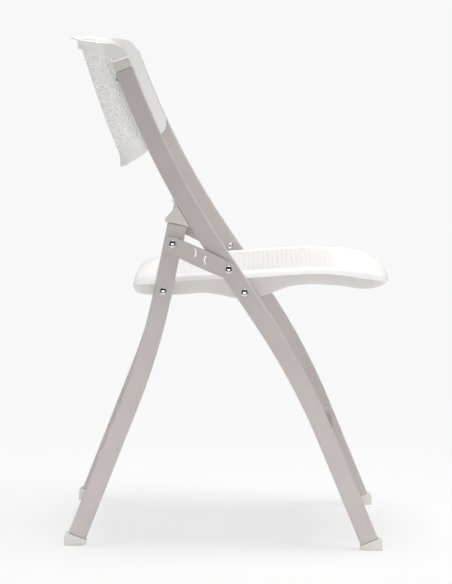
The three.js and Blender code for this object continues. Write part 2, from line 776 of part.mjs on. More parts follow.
// How much a rounded front corner of the flange takes off its height.
function cornerLoss(back, radius) {
  const inside = back - backFlangeFront;
  return inside >= radius ? 0 : radius - Math.sqrt(radius ** 2 - (radius - inside) ** 2);
}

// One face of the panel. v runs from the bottom edge to the top edge, u from one end to the other.
const leanAtTop = pointOn(frontLine, frontTop).lean;
function backFace(u, v, inset) {
  const share = 1 - Math.abs(2 * u - 1);
  const middle = Math.sin((Math.PI / 2) * (Math.max(0, share - flangeShare) / (1 - flangeShare)));
  const blend = (edge) => edge.ends + (edge.middle - edge.ends) * middle;
  const topBow = along(backBow, uprightTop) + backLip[0][1];
  const { back: topBack } = backSection(topBow, 0)(share);
  const topHeight = blend(backTop) + topBack * Math.sin(leanAtTop);
  const low = reach(frontLine, blend(backBottom)) + cornerLoss(topBack, backCornerBottom);
  const high = reach(frontLine, topHeight) - cornerLoss(topBack, backCornerTop);
  const s = low + (high - low) * v;
  const bow = along(backBow, pointOn(frontLine, s).z) + along(backLip, high - s) + along(backSkirt, s - low);
  const { y, back } = backSection(bow, inset)(share);
  const { x, z } = beside(frontLine, s, back);
  return new THREE.Vector3(x, u < 0.5 ? -y : y, z);
}

// A closed sheet between its two faces.
function sheet(columns, rows, outer, inner) {
  const positions = [];
  [outer, inner].forEach((face) => {
    for (const v of rows) for (const u of columns) positions.push(...face(u, v).toArray());
  });
  const n = columns.length;
  const m = rows.length;
  const at = (side, i, j) => side * n * m + j * n + i;
  const index = [];
  const quad = (a, b, c, d) => index.push(a, b, c, a, c, d);
  for (let j = 0; j < m - 1; j += 1) {
    for (let i = 0; i < n - 1; i += 1) {
      quad(at(0, i, j), at(0, i + 1, j), at(0, i + 1, j + 1), at(0, i, j + 1));
      quad(at(1, i, j), at(1, i, j + 1), at(1, i + 1, j + 1), at(1, i + 1, j));
    }
  }
  for (let i = 0; i < n - 1; i += 1) {
    quad(at(0, i + 1, 0), at(0, i, 0), at(1, i, 0), at(1, i + 1, 0));
    quad(at(0, i, m - 1), at(0, i + 1, m - 1), at(1, i + 1, m - 1), at(1, i, m - 1));
  }
  for (let j = 0; j < m - 1; j += 1) {
    quad(at(0, 0, j), at(0, 0, j + 1), at(1, 0, j + 1), at(1, 0, j));
    quad(at(0, n - 1, j + 1), at(0, n - 1, j), at(1, n - 1, j), at(1, n - 1, j + 1));
  }
  const geometry = new THREE.BufferGeometry();
  geometry.setAttribute('position', new THREE.Float32BufferAttribute(positions, 3));
  geometry.setIndex(index);
  return toSolid(geometry);
}

const between = (from, to) => (share) => from + share * (to - from);
const flangeColumns = [0, 0.06, 0.2, 0.4, 0.65, 1].map(between(0, flangeShare));
const filletColumns = [0.25, 0.5, 0.75, 1].map(between(flangeShare, filletShare));
const bowColumns = [0.2, 0.4, 0.6, 0.8].map(between(filletShare, 1));
const halfColumns = [...flangeColumns, ...filletColumns, ...bowColumns];
const backColumns = [...halfColumns.map((share) => share / 2), 0.5,
  ...[...halfColumns].reverse().map((share) => 1 - share / 2)];
const backRows = [0, 0.06, 0.12, 0.3, 0.48, 0.66, 0.86, 0.9, 0.964, 0.98, 1];
const panel = sheet(backColumns, backRows,
  (u, v) => backFace(u, v, 0), (u, v) => backFace(u, v, backThick));
const backrest = cut(panel, ...backScrewHoles, ...backScrewHoles.map(mirrored));
piece('backrest_panel', toGeometry(backrest), backPlastic);

const backScrewFace = tubeInnerY - fit - backThick - fit;
['lower', 'upper'].forEach((name, i) => {
  const at = backScrewPlaces[i];
  const shank = pin(at, backScrewDiameter, backScrewFace - 0.5, tubeInnerY + tubeWall + 3);
  const head = pin(at, backScrewHead.diameter, backScrewFace - backScrewHead.height, backScrewFace, 16);
  bothSides(`backrest_screw_${name}`, join(shank, head), zinc);
});

// ---------------------------------------------------------------- place the chair

// The origin is on the floor, under the middle of the chair's outline.
const outline = new THREE.Box3().setFromObject(chair);
chair.position.x = -(outline.min.x + outline.max.x) / 2;

export default chair;
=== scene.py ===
import json
from math import atan2, cos, floor, hypot, inf, pi, radians, sin, sqrt

import bmesh
import bpy
from bmesh.types import BMEdge, BMVert
from mathutils import Matrix, Vector


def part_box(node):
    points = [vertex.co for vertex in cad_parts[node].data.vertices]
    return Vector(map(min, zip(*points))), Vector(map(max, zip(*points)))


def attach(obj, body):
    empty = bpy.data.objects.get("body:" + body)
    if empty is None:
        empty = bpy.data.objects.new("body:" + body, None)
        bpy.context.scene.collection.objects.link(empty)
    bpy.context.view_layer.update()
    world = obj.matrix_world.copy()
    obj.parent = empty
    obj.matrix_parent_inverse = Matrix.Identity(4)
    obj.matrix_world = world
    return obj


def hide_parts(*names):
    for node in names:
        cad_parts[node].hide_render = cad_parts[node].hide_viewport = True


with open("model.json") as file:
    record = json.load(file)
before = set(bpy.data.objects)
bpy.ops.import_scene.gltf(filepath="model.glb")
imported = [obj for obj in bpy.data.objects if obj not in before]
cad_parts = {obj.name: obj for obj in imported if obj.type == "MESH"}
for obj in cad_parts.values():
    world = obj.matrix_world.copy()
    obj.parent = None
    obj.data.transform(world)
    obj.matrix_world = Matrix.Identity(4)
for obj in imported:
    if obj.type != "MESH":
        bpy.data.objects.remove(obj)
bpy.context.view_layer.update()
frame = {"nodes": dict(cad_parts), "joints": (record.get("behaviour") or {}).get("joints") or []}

# ---------------- uprights
# Rectangular steel tube with round corners, bent in one plane above and below the seat's pivot.
# Each upright runs from the front foot to the top of the back, and carries every other piece.

TUBE_DEEP = 30
TUBE_WIDE = 15
TUBE_CORNER = 3
TUBE_WALL = 1.5
BORE = 22  # how deep the tubes' open ends are drawn
OVER_TUBES = 445  # outer face to outer face of the two uprights
FIT = 0.3  # gap where two pieces touch
SEAM = 0.9  # the line round a plugged cap, drawn three times as wide so that it shows
TUBE_ACROSS = OVER_TUBES / 2 - TUBE_WIDE / 2
TUBE_OUTER = OVER_TUBES / 2
TUBE_INNER = OVER_TUBES / 2 - TUBE_WIDE

pivots = {joint["name"]: 1000 * Vector(joint["pos_m"]) for joint in frame["joints"]}
seat_front = pivots["seat_fold"]
seat_rear = pivots["rear_fold"]

# A centre line: the lean from vertical at its pivot, the top to the rear, and then the length and
# bend of each run above and below the pivot.
upright = {
    "pivot": seat_front,
    "lean": 34.6,
    "above": [(84, 0), (324, -13.6)],
    "below": [(56, 0), (222, -11.3)],
}


def on_line(line, place):
    """The point of a tube's centre line that is place mm up from its pivot, and its lean there."""
    up = 1 if place >= 0 else -1
    x, z = line["pivot"].x, line["pivot"].z
    lean, left = radians(line["lean"]), abs(place)
    for length, bend in line["above" if up > 0 else "below"] + [(inf, 0)]:
        step = min(left, length)
        if bend and step > 0:
            turn = radians(bend) * step / length
            radius = step / turn
            x += up * radius * (cos(lean + turn) - cos(lean))
            z += up * radius * (sin(lean + turn) - sin(lean))
            lean += turn
        else:
            x -= up * sin(lean) * step
            z += up * cos(lean) * step
        left -= step
    return Vector((x, 0, z)), lean


def reach(line, height):
    """How far up a centre line its point at a height is."""
    low, high = -1500, 1500
    while high - low > 1e-4:
        middle = (low + high) / 2
        if on_line(line, middle)[0].z < height:
            low = middle
        else:
            high = middle
    return low


def beside(line, place, behind):
    """A point behind a centre line, square to the tube."""
    point, lean = on_line(line, place)
    return point - behind * Vector((cos(lean), 0, sin(lean)))


def pull_tube(line, low, high):
    """Sets the tube's section square to a centre line at its high end, and pulls it down to its low
    end: each straight run is extruded, and each bend is spun round its centre."""
    shape = bmesh.new()
    bmesh.ops.create_grid(shape, x_segments=1, y_segments=1, size=0.5)
    bmesh.ops.scale(shape, vec=(TUBE_DEEP, TUBE_WIDE, 1), verts=shape.verts)
    bmesh.ops.bevel(
        shape, geom=shape.verts[:], offset=TUBE_CORNER, affect="VERTICES", segments=5, profile=0.5,
        material=-1,
    )
    start, lean = on_line(line, high)
    tip_over = Matrix.Rotation(-lean, 3, "Y")
    bmesh.ops.rotate(shape, cent=(0, 0, 0), matrix=tip_over, verts=shape.verts)
    bmesh.ops.translate(shape, vec=start + Vector((0, TUBE_ACROSS, 0)), verts=shape.verts)
    ends = [low, high]
    for side, up in (("above", 1), ("below", -1)):
        place = 0
        for length, _ in line[side]:
            ends += [end for end in (up * place, up * (place + length)) if low < end < high]
            place += length
    ends = sorted(set(ends), reverse=True)
    ring = [edge for edge in shape.edges if edge.is_boundary]
    for top, bottom in zip(ends, ends[1:]):
        (here, lean), (there, next_lean) = on_line(line, top), on_line(line, bottom)
        turn = next_lean - lean
        if abs(turn) < 1e-6:
            made = bmesh.ops.extrude_edge_only(shape, edges=ring)["geom"]
            corners = [part for part in made if isinstance(part, BMVert)]
            bmesh.ops.translate(shape, vec=there - here, verts=corners)
        else:
            radius = (top - bottom) / turn
            centre = here + radius * Vector((cos(lean), 0, sin(lean)))
            corners = list({corner for edge in ring for corner in edge.verts})
            made = bmesh.ops.spin(
                shape, geom=corners + ring, cent=centre, axis=(0, -1, 0), angle=turn,
                steps=max(2, round((top - bottom) / 20)), use_merge=False,
            )["geom_last"]
        ring = [part for part in made if isinstance(part, BMEdge) and part.is_boundary]
    bmesh.ops.contextual_create(shape, geom=ring)
    bmesh.ops.recalc_face_normals(shape, faces=shape.faces)
    return shape


def end_faces(shape):
    """The two ends of a tube, the lower one first."""
    ends = [face for face in shape.faces if len(face.verts) > 4]
    return sorted(ends, key=lambda face: face.calc_center_median().z)


def open_ends(shape):
    """Sinks a bore into each end of a tube."""
    for end in end_faces(shape):
        bmesh.ops.inset_individual(shape, faces=[end], thickness=TUBE_WALL, use_even_offset=True)
        bmesh.ops.inset_individual(shape, faces=[end], thickness=0, depth=-BORE)


def linear(colour):
    """A colour written as sRGB hex, as the linear values that a shader takes."""
    parts = [int(colour[i : i + 2], 16) / 255 for i in (0, 2, 4)]
    return [
        *(part / 12.92 if part < 0.04045 else ((part + 0.055) / 1.055) ** 2.4 for part in parts), 1,
    ]


def set_up(node, settings, links):
    """Gives a node its settings, which are its own and its inputs' values, and feeds its inputs."""
    for name, value in settings.items():
        if isinstance(name, int) or name in node.inputs:
            node.inputs[name].default_value = value
        else:
            setattr(node, name, value)
    for name, source in links.items():
        node.id_data.links.new(source, node.inputs[name])
    return node


def add(tree, kind, settings, links):
    """Adds a node with its settings and links."""
    return set_up(tree.nodes.new(kind), settings, links)


def new_material(name):
    """A material, its node tree, the place on the piece that its patterns read, and its shader."""
    material = bpy.data.materials.new(name)
    material.use_nodes = True
    tree = material.node_tree
    place = add(tree, "ShaderNodeTexCoord", {}, {}).outputs["Object"]
    return material, tree, place, tree.nodes["Principled BSDF"]


def mottled(tree, place, size, detail, colours):
    """Soft patches of a size in mm, and a colour that drifts from one to another with them."""
    patches = add(
        tree, "ShaderNodeTexNoise", {"Scale": 1000 / size, "Detail": detail}, {"Vector": place}
    ).outputs["Fac"]
    first, second = map(linear, colours)
    tone = add(tree, "ShaderNodeMix", {"data_type": "RGBA", 6: first, 7: second}, {0: patches})
    return patches, tone.outputs[2]


def grained(tree, place, size, detail, strength, deep):
    """A grain of a size in mm, and the relief of it, deep mm."""
    grain = add(
        tree, "ShaderNodeTexNoise", {"Scale": 1000 / size, "Detail": detail}, {"Vector": place}
    ).outputs["Fac"]
    relief = add(
        tree, "ShaderNodeBump", {"Strength": strength, "Distance": deep / 1000}, {"Height": grain}
    )
    return grain, relief.outputs["Normal"]


NOISE_RANGE = {"From Min": 0.3, "From Max": 0.7}  # nearly all of a noise's values lie in it


# Powder-coated mild steel: a baked polyester powder, which flows out to a satin skin with faint
# orange peel. The peel's real waves are about 1.5 mm, and are drawn at 4 mm so that they show.
PEEL = 4
CLOUD = 55  # size of the faint patches where the coat is a little thicker
powder_coat, tree, place, surface = new_material("powder_coated_steel")
cloud, tone = mottled(tree, place, CLOUD, 2, ("C9C1BF", "C3BBB8"))
sheen = add(
    tree, "ShaderNodeMapRange", {**NOISE_RANGE, "To Min": 0.38, "To Max": 0.47}, {"Value": cloud}
)
_, relief = grained(tree, place, PEEL, 1, 0.12, 0.3)
set_up(
    surface, {"IOR": 1.5}, {"Base Color": tone, "Roughness": sheen.outputs[0], "Normal": relief}
)


CREASE = radians(32)  # a sharper edge than this shades as an edge


def keep(shape, name, material, body, stands_for, facing=None):
    """Turns a finished shape to metres, and keeps it as a piece that rides on a body. An open sheet
    says which way its outer face looks."""
    bmesh.ops.remove_doubles(shape, verts=shape.verts, dist=0.005)
    bmesh.ops.recalc_face_normals(shape, faces=shape.faces)
    if facing:
        shown = sum(face.normal.dot(Vector(facing)) * face.calc_area() for face in shape.faces)
        if shown < 0:
            bmesh.ops.reverse_faces(shape, faces=shape.faces)
    for edge in shape.edges:
        edge.smooth = len(edge.link_faces) == 2 and edge.calc_face_angle() < CREASE
    bmesh.ops.scale(shape, vec=(0.001, 0.001, 0.001), verts=shape.verts)
    mesh = bpy.data.meshes.new(name)
    shape.to_mesh(mesh)
    shape.free()
    mesh.shade_smooth()
    mesh.materials.append(material)
    piece = bpy.data.objects.new(name, mesh)
    bpy.context.collection.objects.link(piece)
    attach(piece, body)
    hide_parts(*stands_for)
    return piece


def keep_pair(shape, name, material, body, stands_for):
    """Keeps a shape made on the left, and its mirror image on the right."""
    other = shape.copy()
    bmesh.ops.scale(other, vec=(1, -1, 1), verts=other.verts)
    for side, half in (("left", shape), ("right", other)):
        nodes = [f"{node}_{side}" for node in stands_for]
        keep(half, f"{name}_{side}", material, body.format(side), nodes)


UPRIGHT_TOP = 774.7
FOOT_HEIGHT_FRONT = 14.2
upright_top = reach(upright, UPRIGHT_TOP)
upright_end = reach(upright, FOOT_HEIGHT_FRONT)
tube = pull_tube(upright, upright_end, upright_top)
open_ends(tube)
keep_pair(tube, "upright_tube", powder_coat, "front_frame", ["front_tube"])

# ---------------- rear legs
# The same tube, leaning forward at the seat and bent to the rear below it. The seat's rear pivot
# and the link hold it.

FOOT_HEIGHT_REAR = 16.2
REAR_TOP = 527.2
rear_leg = {"pivot": seat_rear, "lean": -10.8, "above": [], "below": [(189, -9.85)]}
rear_top = reach(rear_leg, REAR_TOP)
rear_end = reach(rear_leg, FOOT_HEIGHT_REAR)
tube = pull_tube(rear_leg, rear_end, rear_top)
open_ends(tube)
keep_pair(tube, "rear_leg_tube", powder_coat, "rear_frame", ["rear_leg"])

# ---------------- crossbars
# Round steel tube between the two tubes of each frame, fillet welded to their inner faces and
# coated with them.

BAR_RADIUS = 9.5
WELD = [(2.9, 0), (2.6, 1.1), (1.6, 2.4), (0.6, 3.7), (0, 4.8)]  # swell and distance from the tube


def turned(profile, centre, segments=40):
    """A round piece spun about a line across the chair, from its radius at places across."""
    shape = bmesh.new()
    corners = [shape.verts.new((0, across, radius)) for radius, across in profile]
    for first, second in zip(corners, corners[1:]):
        shape.edges.new((first, second))
    bmesh.ops.spin(
        shape, geom=shape.verts[:] + shape.edges[:], cent=(0, 0, 0), axis=(0, 1, 0), angle=2 * pi,
        steps=segments, use_merge=True,
    )
    bmesh.ops.remove_doubles(shape, verts=shape.verts, dist=0.001)
    bmesh.ops.translate(shape, vec=(centre.x, 0, centre.z), verts=shape.verts)
    return shape


bar_end = TUBE_INNER - FIT
half_bar = [(BAR_RADIUS + swell, bar_end - back) for swell, back in WELD]
bar_profile = [(0, bar_end)] + half_bar
bar_profile += [(radius, -across) for radius, across in reversed(half_bar)] + [(0, -bar_end)]
for name, line, height, body in (
    ("front_crossbar", upright, 163, "front_frame"),
    ("rear_crossbar", rear_leg, 154, "rear_frame"),
):
    centre = on_line(line, reach(line, height))[0]
    keep(turned(bar_profile, centre), f"{name}_welded", powder_coat, body, [name])

# ---------------- feet
# Injection-moulded rubbery plastic boots pushed into the tube ends. The sole's inner end lifts a
# little off the floor.

# Thermoplastic rubber, moulded against a spark-eroded tool: a matt skin with a fine grain of about
# 0.5 mm, drawn at 2 mm so that it shows.
foot_rubber, tree, place, surface = new_material("thermoplastic_rubber")
_, tone = mottled(tree, place, 12, 3, ("E6E4E0", "DAD7D2"))
_, relief = grained(tree, place, 2, 2, 0.2, 0.3)
set_up(surface, {"Roughness": 0.62, "IOR": 1.5}, {"Base Color": tone, "Normal": relief})

FOOT_LONG = 36
FOOT_PROUD = 2  # past the sides of its tube
FOOT_ROUND = 7
FOOT_EDGE = 1.8
FOOT_LIFTED = 0.36  # share of the sole's length that lifts


def curve(start, pull_to, end, steps):
    """Points of a curve from start to end that is drawn toward a third point."""
    shares = [(step + 1) / steps for step in range(steps)]
    return [
        (1 - t) ** 2 * Vector(start) + 2 * t * (1 - t) * Vector(pull_to) + t * t * Vector(end)
        for t in shares
    ]


def round_edges(shape, edges, size, segments):
    bmesh.ops.bevel(
        shape, geom=edges, offset=size, affect="EDGES", segments=segments, profile=0.5, material=-1,
        clamp_overlap=True,
    )


def thicken(shape, thick, sharp, size, segments):
    """Gives a flat outline its thickness across the chair, and rounds its edges that are sharper
    than an angle."""
    made = bmesh.ops.extrude_face_region(shape, geom=shape.faces[:])["geom"]
    corners = [part for part in made if isinstance(part, BMVert)]
    bmesh.ops.translate(shape, vec=(0, thick, 0), verts=corners)
    bmesh.ops.recalc_face_normals(shape, faces=shape.faces)
    edges = [edge for edge in shape.edges if edge.calc_face_angle() > radians(sharp)]
    round_edges(shape, edges, size, segments)


def block(outline, across, thick, edge):
    """A moulded block with rounded edges, from its outline in the side view."""
    shape = bmesh.new()
    shape.faces.new([shape.verts.new((x, across, z)) for x, z in outline])
    thicken(shape, thick, 35, edge, 3)
    return shape


for name, line, end, outward, lift, body in (
    ("front_foot", upright, upright_end, 1, 0.6, "front_frame"),
    ("rear_foot", rear_leg, rear_end, -1, 3.4, "rear_frame"),
):
    outer = beside(line, end - SEAM, -outward * TUBE_DEEP / 2)
    inner = beside(line, end - SEAM, outward * TUBE_DEEP / 2)
    heel = inner.x - outward
    tip = heel + outward * FOOT_LONG
    round_over = min(FOOT_ROUND, outer.z * 0.4)
    outline = [(heel, lift), (heel + outward * FOOT_LONG * FOOT_LIFTED, 0), (tip, 0)]
    outline.append((tip, outer.z - round_over - 1))
    outline += curve(outline[-1], (tip, outer.z + 1), (tip - outward * round_over, outer.z + 1), 6)
    outline += [(outer.x, outer.z), (inner.x, inner.z), (heel, inner.z - 0.4)]
    foot = block(outline, TUBE_INNER - FOOT_PROUD, TUBE_WIDE + 2 * FOOT_PROUD, FOOT_EDGE)
    keep_pair(foot, f"{name}_boot", foot_rubber, body, [name])

# ---------------- seat rails
# Two flat steel bars inside the seat's skirt, zinc plated, that carry the load between the seat's
# pivots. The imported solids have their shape, and only take their finish here.

# Bright zinc plate on mild steel: barrel plated, so it is even and slightly cloudy, with a faint
# bluish cast and patches of about 9 mm where the passivate dried.
zinc_plate, tree, place, surface = new_material("zinc_plated_steel")
stain, tone = mottled(tree, place, 9, 4, ("B4B6B8", "9A9DA1"))
sheen = add(
    tree, "ShaderNodeMapRange", {**NOISE_RANGE, "To Min": 0.3, "To Max": 0.45}, {"Value": stain}
)
set_up(surface, {"Metallic": 1}, {"Base Color": tone, "Roughness": sheen.outputs[0]})

for side in ("left", "right"):
    rail = frame["nodes"][f"seat_rail_{side}"]
    for filled in rail.material_slots:
        filled.material = zinc_plate

# ---------------- seat
# One injection-moulded shell with a dished top full of slots, edges that roll over to a skirt, and
# a skirt that dips at the two pivots. Ribs stiffen it underneath.

# Polypropylene, moulded and faintly grained: white right through, with a soft sheen that a fine
# spark-eroded grain of about 0.4 mm breaks up. The grain is drawn at 1.6 mm so that it shows. The
# seat's near-upright faces are mixed toward a greyer, slightly warm tone, which is painted shade
# under the rolled edge.
SEAT_BELOW = 0.55  # m, above all of the seat and below all of the back
white_plastic, tree, place, surface = new_material("white_polypropylene")
height = add(tree, "ShaderNodeSeparateXYZ", {}, {0: place}).outputs["Z"]
facing = place.node.outputs["Normal"]
rises = add(tree, "ShaderNodeSeparateXYZ", {}, {0: facing}).outputs["Z"]
tilt = add(tree, "ShaderNodeMath", {"operation": "ABSOLUTE"}, {0: rises}).outputs[0]
standing = add(
    tree, "ShaderNodeMapRange", {"From Min": 0.2, "From Max": 0.4, "To Min": 1, "To Max": 0},
    {"Value": tilt},
)
on_seat = add(tree, "ShaderNodeMath", {"operation": "LESS_THAN", 1: SEAT_BELOW}, {0: height})
painted_side_shade = add(
    tree, "ShaderNodeMath", {"operation": "MULTIPLY"},
    {0: standing.outputs[0], 1: on_seat.outputs[0]},
)
_, tone = mottled(tree, place, 80, 2, ("F7F6F5", "F3F2F1"))
# painted shade: the seat's faces that stand near upright, below SEAT_BELOW, are mixed toward E3DEDC
tone = add(
    tree, "ShaderNodeMix", {"data_type": "RGBA", 7: linear("E3DEDC")},
    {0: painted_side_shade.outputs[0], 6: tone},
)
grain, relief = grained(tree, place, 1.6, 2, 0.15, 0.2)
sheen = add(
    tree, "ShaderNodeMapRange", {**NOISE_RANGE, "To Min": 0.42, "To Max": 0.52}, {"Value": grain}
)
set_up(
    surface, {"IOR": 1.49},
    {"Base Color": tone.outputs[2], "Roughness": sheen.outputs[0], "Normal": relief},
)

seat_low, seat_high = (corner * 1000 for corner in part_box("seat_pan"))
SEAT_LONG = seat_high.x - seat_low.x
SEAT_HALF = seat_high.y
SEAT_WALL = 3
CORNER_REAR = 36  # corner radii in plan
CORNER_NOSE = 60
NOSE_BOW = 7  # how much further forward the middle of the front edge is
REAR_BOW = 3  # and how much further back the middle of the rear edge
NOSE_FROM = 214  # where the bow of the front edge starts along the sides
REAR_BOW_LONG = 60  # and how far forward the one of the rear edge reaches
DISH = 5  # depth of the dish across the middle
DISH_ENDS = (20, 70)  # it starts this far from the rear edge, and is full this much further in
# how the top edge rolls over: how far in from the outline, and the share of the drop to the skirt
ROLL = [
    (11, 0), (8, 0.04), (5.6, 0.13), (3.9, 0.27), (2.9, 0.42), (2.2, 0.56), (1.1, 0.78), (0, 1),
]
STEP = 0.7  # the skirt stands this far back under the rolled edge
SLOT_PITCH = (16, 8)  # along the seat and across it
SLOT_BAR = 4.2  # plastic between two slots
SLOT_TAPER = (1, 0.75, 0.35)  # a slot's width at its middle, half way to its end and at its end
SLOT_FADE = 28  # rows over which the slots narrow toward the front
SLOT_LEAST = 0.3  # and the share of their width that they keep there
SLOT_ZONE = (32, 336, 168)  # from the rear edge, to here, and half the width
ZONE_CORNER = 24  # radius of the slotted zone's corners
# heights of the top, of the line where the skirt starts and of its lower edge, against the
# distance from the rear edge
SEAT_TOP = [
    (0, 423), (2, 425), (5, 427.4), (10, 430), (16, 432.6), (26, 436), (33, 437.6), (54, 441),
    (79, 444), (95, 445.5), (168, 450), (214, 454), (269, 458), (297, 459.7), (343, 458.7),
    (387, 453.6), (402, 450), (412, 445.5), (418, 440), (420, 436),
]
SEAT_LINE = [
    (0, 421.5), (8, 425.6), (22, 428), (38, 428.8), (79, 434), (95, 436), (186, 441.3),
    (218, 443.8), (250, 446.9), (283, 449.1), (315, 449.9), (348, 447.2), (380, 442.7), (402, 439),
    (420, 434.5),
]
SEAT_SKIRT = [
    (0, 413.5), (8, 411), (50, 410.8), (82, 412), (116, 415), (144, 411.5), (172, 406.8),
    (199, 409), (226, 417.5), (260, 428.8), (294, 432), (334, 430.5), (381, 425.5), (404, 427),
    (420, 431),
]


def read(table, place):
    """A value read off a table of places and values, along a smooth line through them."""
    slopes = [(b[1] - a[1]) / (b[0] - a[0]) for a, b in zip(table, table[1:])]
    if place <= table[0][0]:
        return table[0][1]
    if place >= table[-1][0]:
        return table[-1][1]
    index = max(i for i, (start, _) in enumerate(table) if start <= place)
    (start, first), (end, last) = table[index], table[index + 1]
    before, here = slopes[max(index - 1, 0)], slopes[index]
    after = slopes[min(index + 1, len(slopes) - 1)]
    span = end - start
    leave = 0 if before * here <= 0 else 2 * before * here / (before + here)
    arrive = 0 if here * after <= 0 else 2 * here * after / (here + after)
    if index == 0:
        leave = here
    if index == len(slopes) - 1:
        arrive = here
    t = (place - start) / span
    return (
        first * (1 + 2 * t) * (1 - t) ** 2
        + last * t * t * (3 - 2 * t)
        + span * (leave * t * (1 - t) ** 2 - arrive * t * t * (1 - t))
    )


def staggered_cells(columns, rows, zone):
    """A sheet of square faces, in which the zone's faces are joined four by four up each column,
    and every second column starts half a cell higher. Each corner remembers its column and row."""
    sheet = bmesh.new()
    spot = sheet.verts.layers.float_vector.new("spot")
    bmesh.ops.create_grid(sheet, x_segments=columns, y_segments=rows, size=0.5)
    bmesh.ops.translate(sheet, vec=(0.5, 0.5, 0), verts=sheet.verts)
    bmesh.ops.scale(sheet, vec=(columns, rows, 1), verts=sheet.verts)
    for corner in sheet.verts:
        corner[spot] = corner.co
    left, right, bottom, top = zone
    joints = []
    for edge in sheet.edges:
        first, second = (corner.co for corner in edge.verts)
        column, row = floor((first.x + second.x) / 2), round(first.y)
        if round(second.y) == row and left <= column < right and bottom < row < top:
            if (row - bottom - 2 * (column % 2)) % 4:
                joints.append(edge)
    bmesh.ops.dissolve_edges(sheet, edges=joints, use_verts=False, use_face_split=False)
    return sheet, spot, [face for face in sheet.faces if face.calc_area() > 3.5]


def open_slots(sheet, spot, cells, bar, taper, narrowed=lambda row: 1):
    """Opens a slot with drawn-in ends in each cell, and leaves a bar between it and the next."""
    sheet.normal_update()
    bmesh.ops.inset_individual(sheet, faces=cells, thickness=bar / 2, use_even_offset=True)
    for cell in cells:
        rows = {}
        for corner in cell.verts:
            rows.setdefault(round(corner[spot].y), []).append(corner)
        middle = (min(rows) + max(rows)) // 2
        for row, (first, second) in rows.items():
            keep_wide = taper[abs(row - middle)] * narrowed(row)
            centre = (first.co + second.co) / 2
            first.co = centre + (first.co - centre) * keep_wide
            second.co = centre + (second.co - centre) * keep_wide
    bmesh.ops.delete(sheet, geom=cells, context="FACES_ONLY")


def seat_half(x):
    """Half the width of the seat at a distance from its rear edge."""
    lost = 0
    for distance, radius in ((x, CORNER_REAR), (SEAT_LONG - x, CORNER_NOSE)):
        short = radius - max(distance, 0)
        if short > 0:
            lost += radius - sqrt(max(0, radius**2 - short**2))
    return SEAT_HALF - lost


def seat_height(x, y):
    """Height of the seat's top: its side profile, dished across and less so near the ends."""
    half = seat_half(x) - ROLL[0][0]
    near_end = min(1, max(0, min(x - DISH_ENDS[0], SEAT_LONG - x)) / DISH_ENDS[1])
    depth = DISH * near_end * near_end * (3 - 2 * near_end)
    return read(SEAT_TOP, x) - depth * (1 - min(1, y * y / half**2))


def nose_back(x, y):
    """How far back the bow of the front edge sets a point of the seat."""
    bow = max(0, (x - NOSE_FROM) / (SEAT_LONG - NOSE_FROM))
    return NOSE_BOW * bow * bow * (y / SEAT_HALF) ** 2


zone_start, zone_end, zone_half = SLOT_ZONE
cells_long = round((zone_end - zone_start) / SLOT_PITCH[0])
cells_across = round(2 * zone_half / SLOT_PITCH[1])


def rim(x, y):
    """The point of the outline that a point on the slotted zone's border looks out to, and the way
    out there. The zone's corners look out to the middles of the outline's corners."""
    side = 1 if y > 0 else -1
    if abs(y) > zone_half - 0.01:
        straight = SEAT_LONG - CORNER_REAR - CORNER_NOSE
        whole = straight + (CORNER_REAR + CORNER_NOSE) * pi / 4
        along = (x - zone_start) / (zone_end - zone_start) * whole - CORNER_REAR * pi / 4
        radius = CORNER_REAR if along < 0 else CORNER_NOSE if along > straight else 0
        past = along if along < 0 else max(0, along - straight)
        turn = past / radius if radius else 0
        out = Vector((sin(turn), side * cos(turn), 0))
        level = CORNER_REAR + min(max(along, 0), straight)
        centre = Vector((level, side * (SEAT_HALF - radius), 0))
    else:
        end, radius = (1, CORNER_NOSE) if x > SEAT_LONG / 2 else (-1, CORNER_REAR)
        straight = SEAT_HALF - radius
        along = abs(y) / zone_half * (straight + radius * pi / 4)
        turn = max(0, along - straight) / radius
        out = Vector((end * cos(turn), side * sin(turn), 0))
        centre = Vector((SEAT_LONG - radius if end > 0 else radius, side * min(along, straight), 0))
    return centre + radius * out, out


whole_zone = (0, cells_across, 0, 4 * cells_long)
seat, spot, cells = staggered_cells(cells_across, 4 * cells_long, whole_zone)


def zone_place(corner):
    """Where a corner of the sheet lies in plan, from the column and row that it remembers."""
    column, row, _ = corner[spot]
    return zone_start + row * SLOT_PITCH[0] / 4, zone_half - column * SLOT_PITCH[1]


for corner in seat.verts:
    corner.co = (*zone_place(corner), 0)
slots = []
for cell in cells:
    middle = cell.calc_center_median()
    x_out = abs(middle.x - (zone_start + zone_end) / 2) - (zone_end - zone_start) / 2 + ZONE_CORNER
    y_out = abs(middle.y) - zone_half + ZONE_CORNER
    if hypot(max(0, x_out), max(0, y_out)) < ZONE_CORNER:
        slots.append(cell)
open_slots(
    seat, spot, slots, SLOT_BAR, SLOT_TAPER,
    lambda row: min(1, SLOT_LEAST + (1 - SLOT_LEAST) * (4 * cells_long - row) / SLOT_FADE),
)


def on_border(corner):
    x, y = corner.co.x, corner.co.y
    return min(abs(x - zone_start), abs(x - zone_end), abs(abs(y) - zone_half)) < 0.01


border = [edge for edge in seat.edges if edge.is_boundary and all(map(on_border, edge.verts))]
ends = [edge for edge in border if abs(edge.verts[0].co.x - edge.verts[1].co.x) < 0.01]
bmesh.ops.subdivide_edges(seat, edges=ends, cuts=1)
ring = [edge for edge in seat.edges if edge.is_boundary and all(map(on_border, edge.verts))]
for corner in seat.verts:
    corner.co.z = seat_height(corner.co.x, corner.co.y)


def next_ring(ring, settle, *where):
    """Extrudes the outermost ring, and settles each new corner from its place on the zone's border,
    the point of the outline that it looks out to, and the way out there."""
    made = bmesh.ops.extrude_edge_only(seat, edges=ring)["geom"]
    for corner in made:
        if isinstance(corner, BMVert):
            x, y = zone_place(corner)
            corner.co = settle(Vector((x, y, 0)), *rim(x, y), *where)
    return [edge for edge in made if isinstance(edge, BMEdge) and edge.is_boundary]


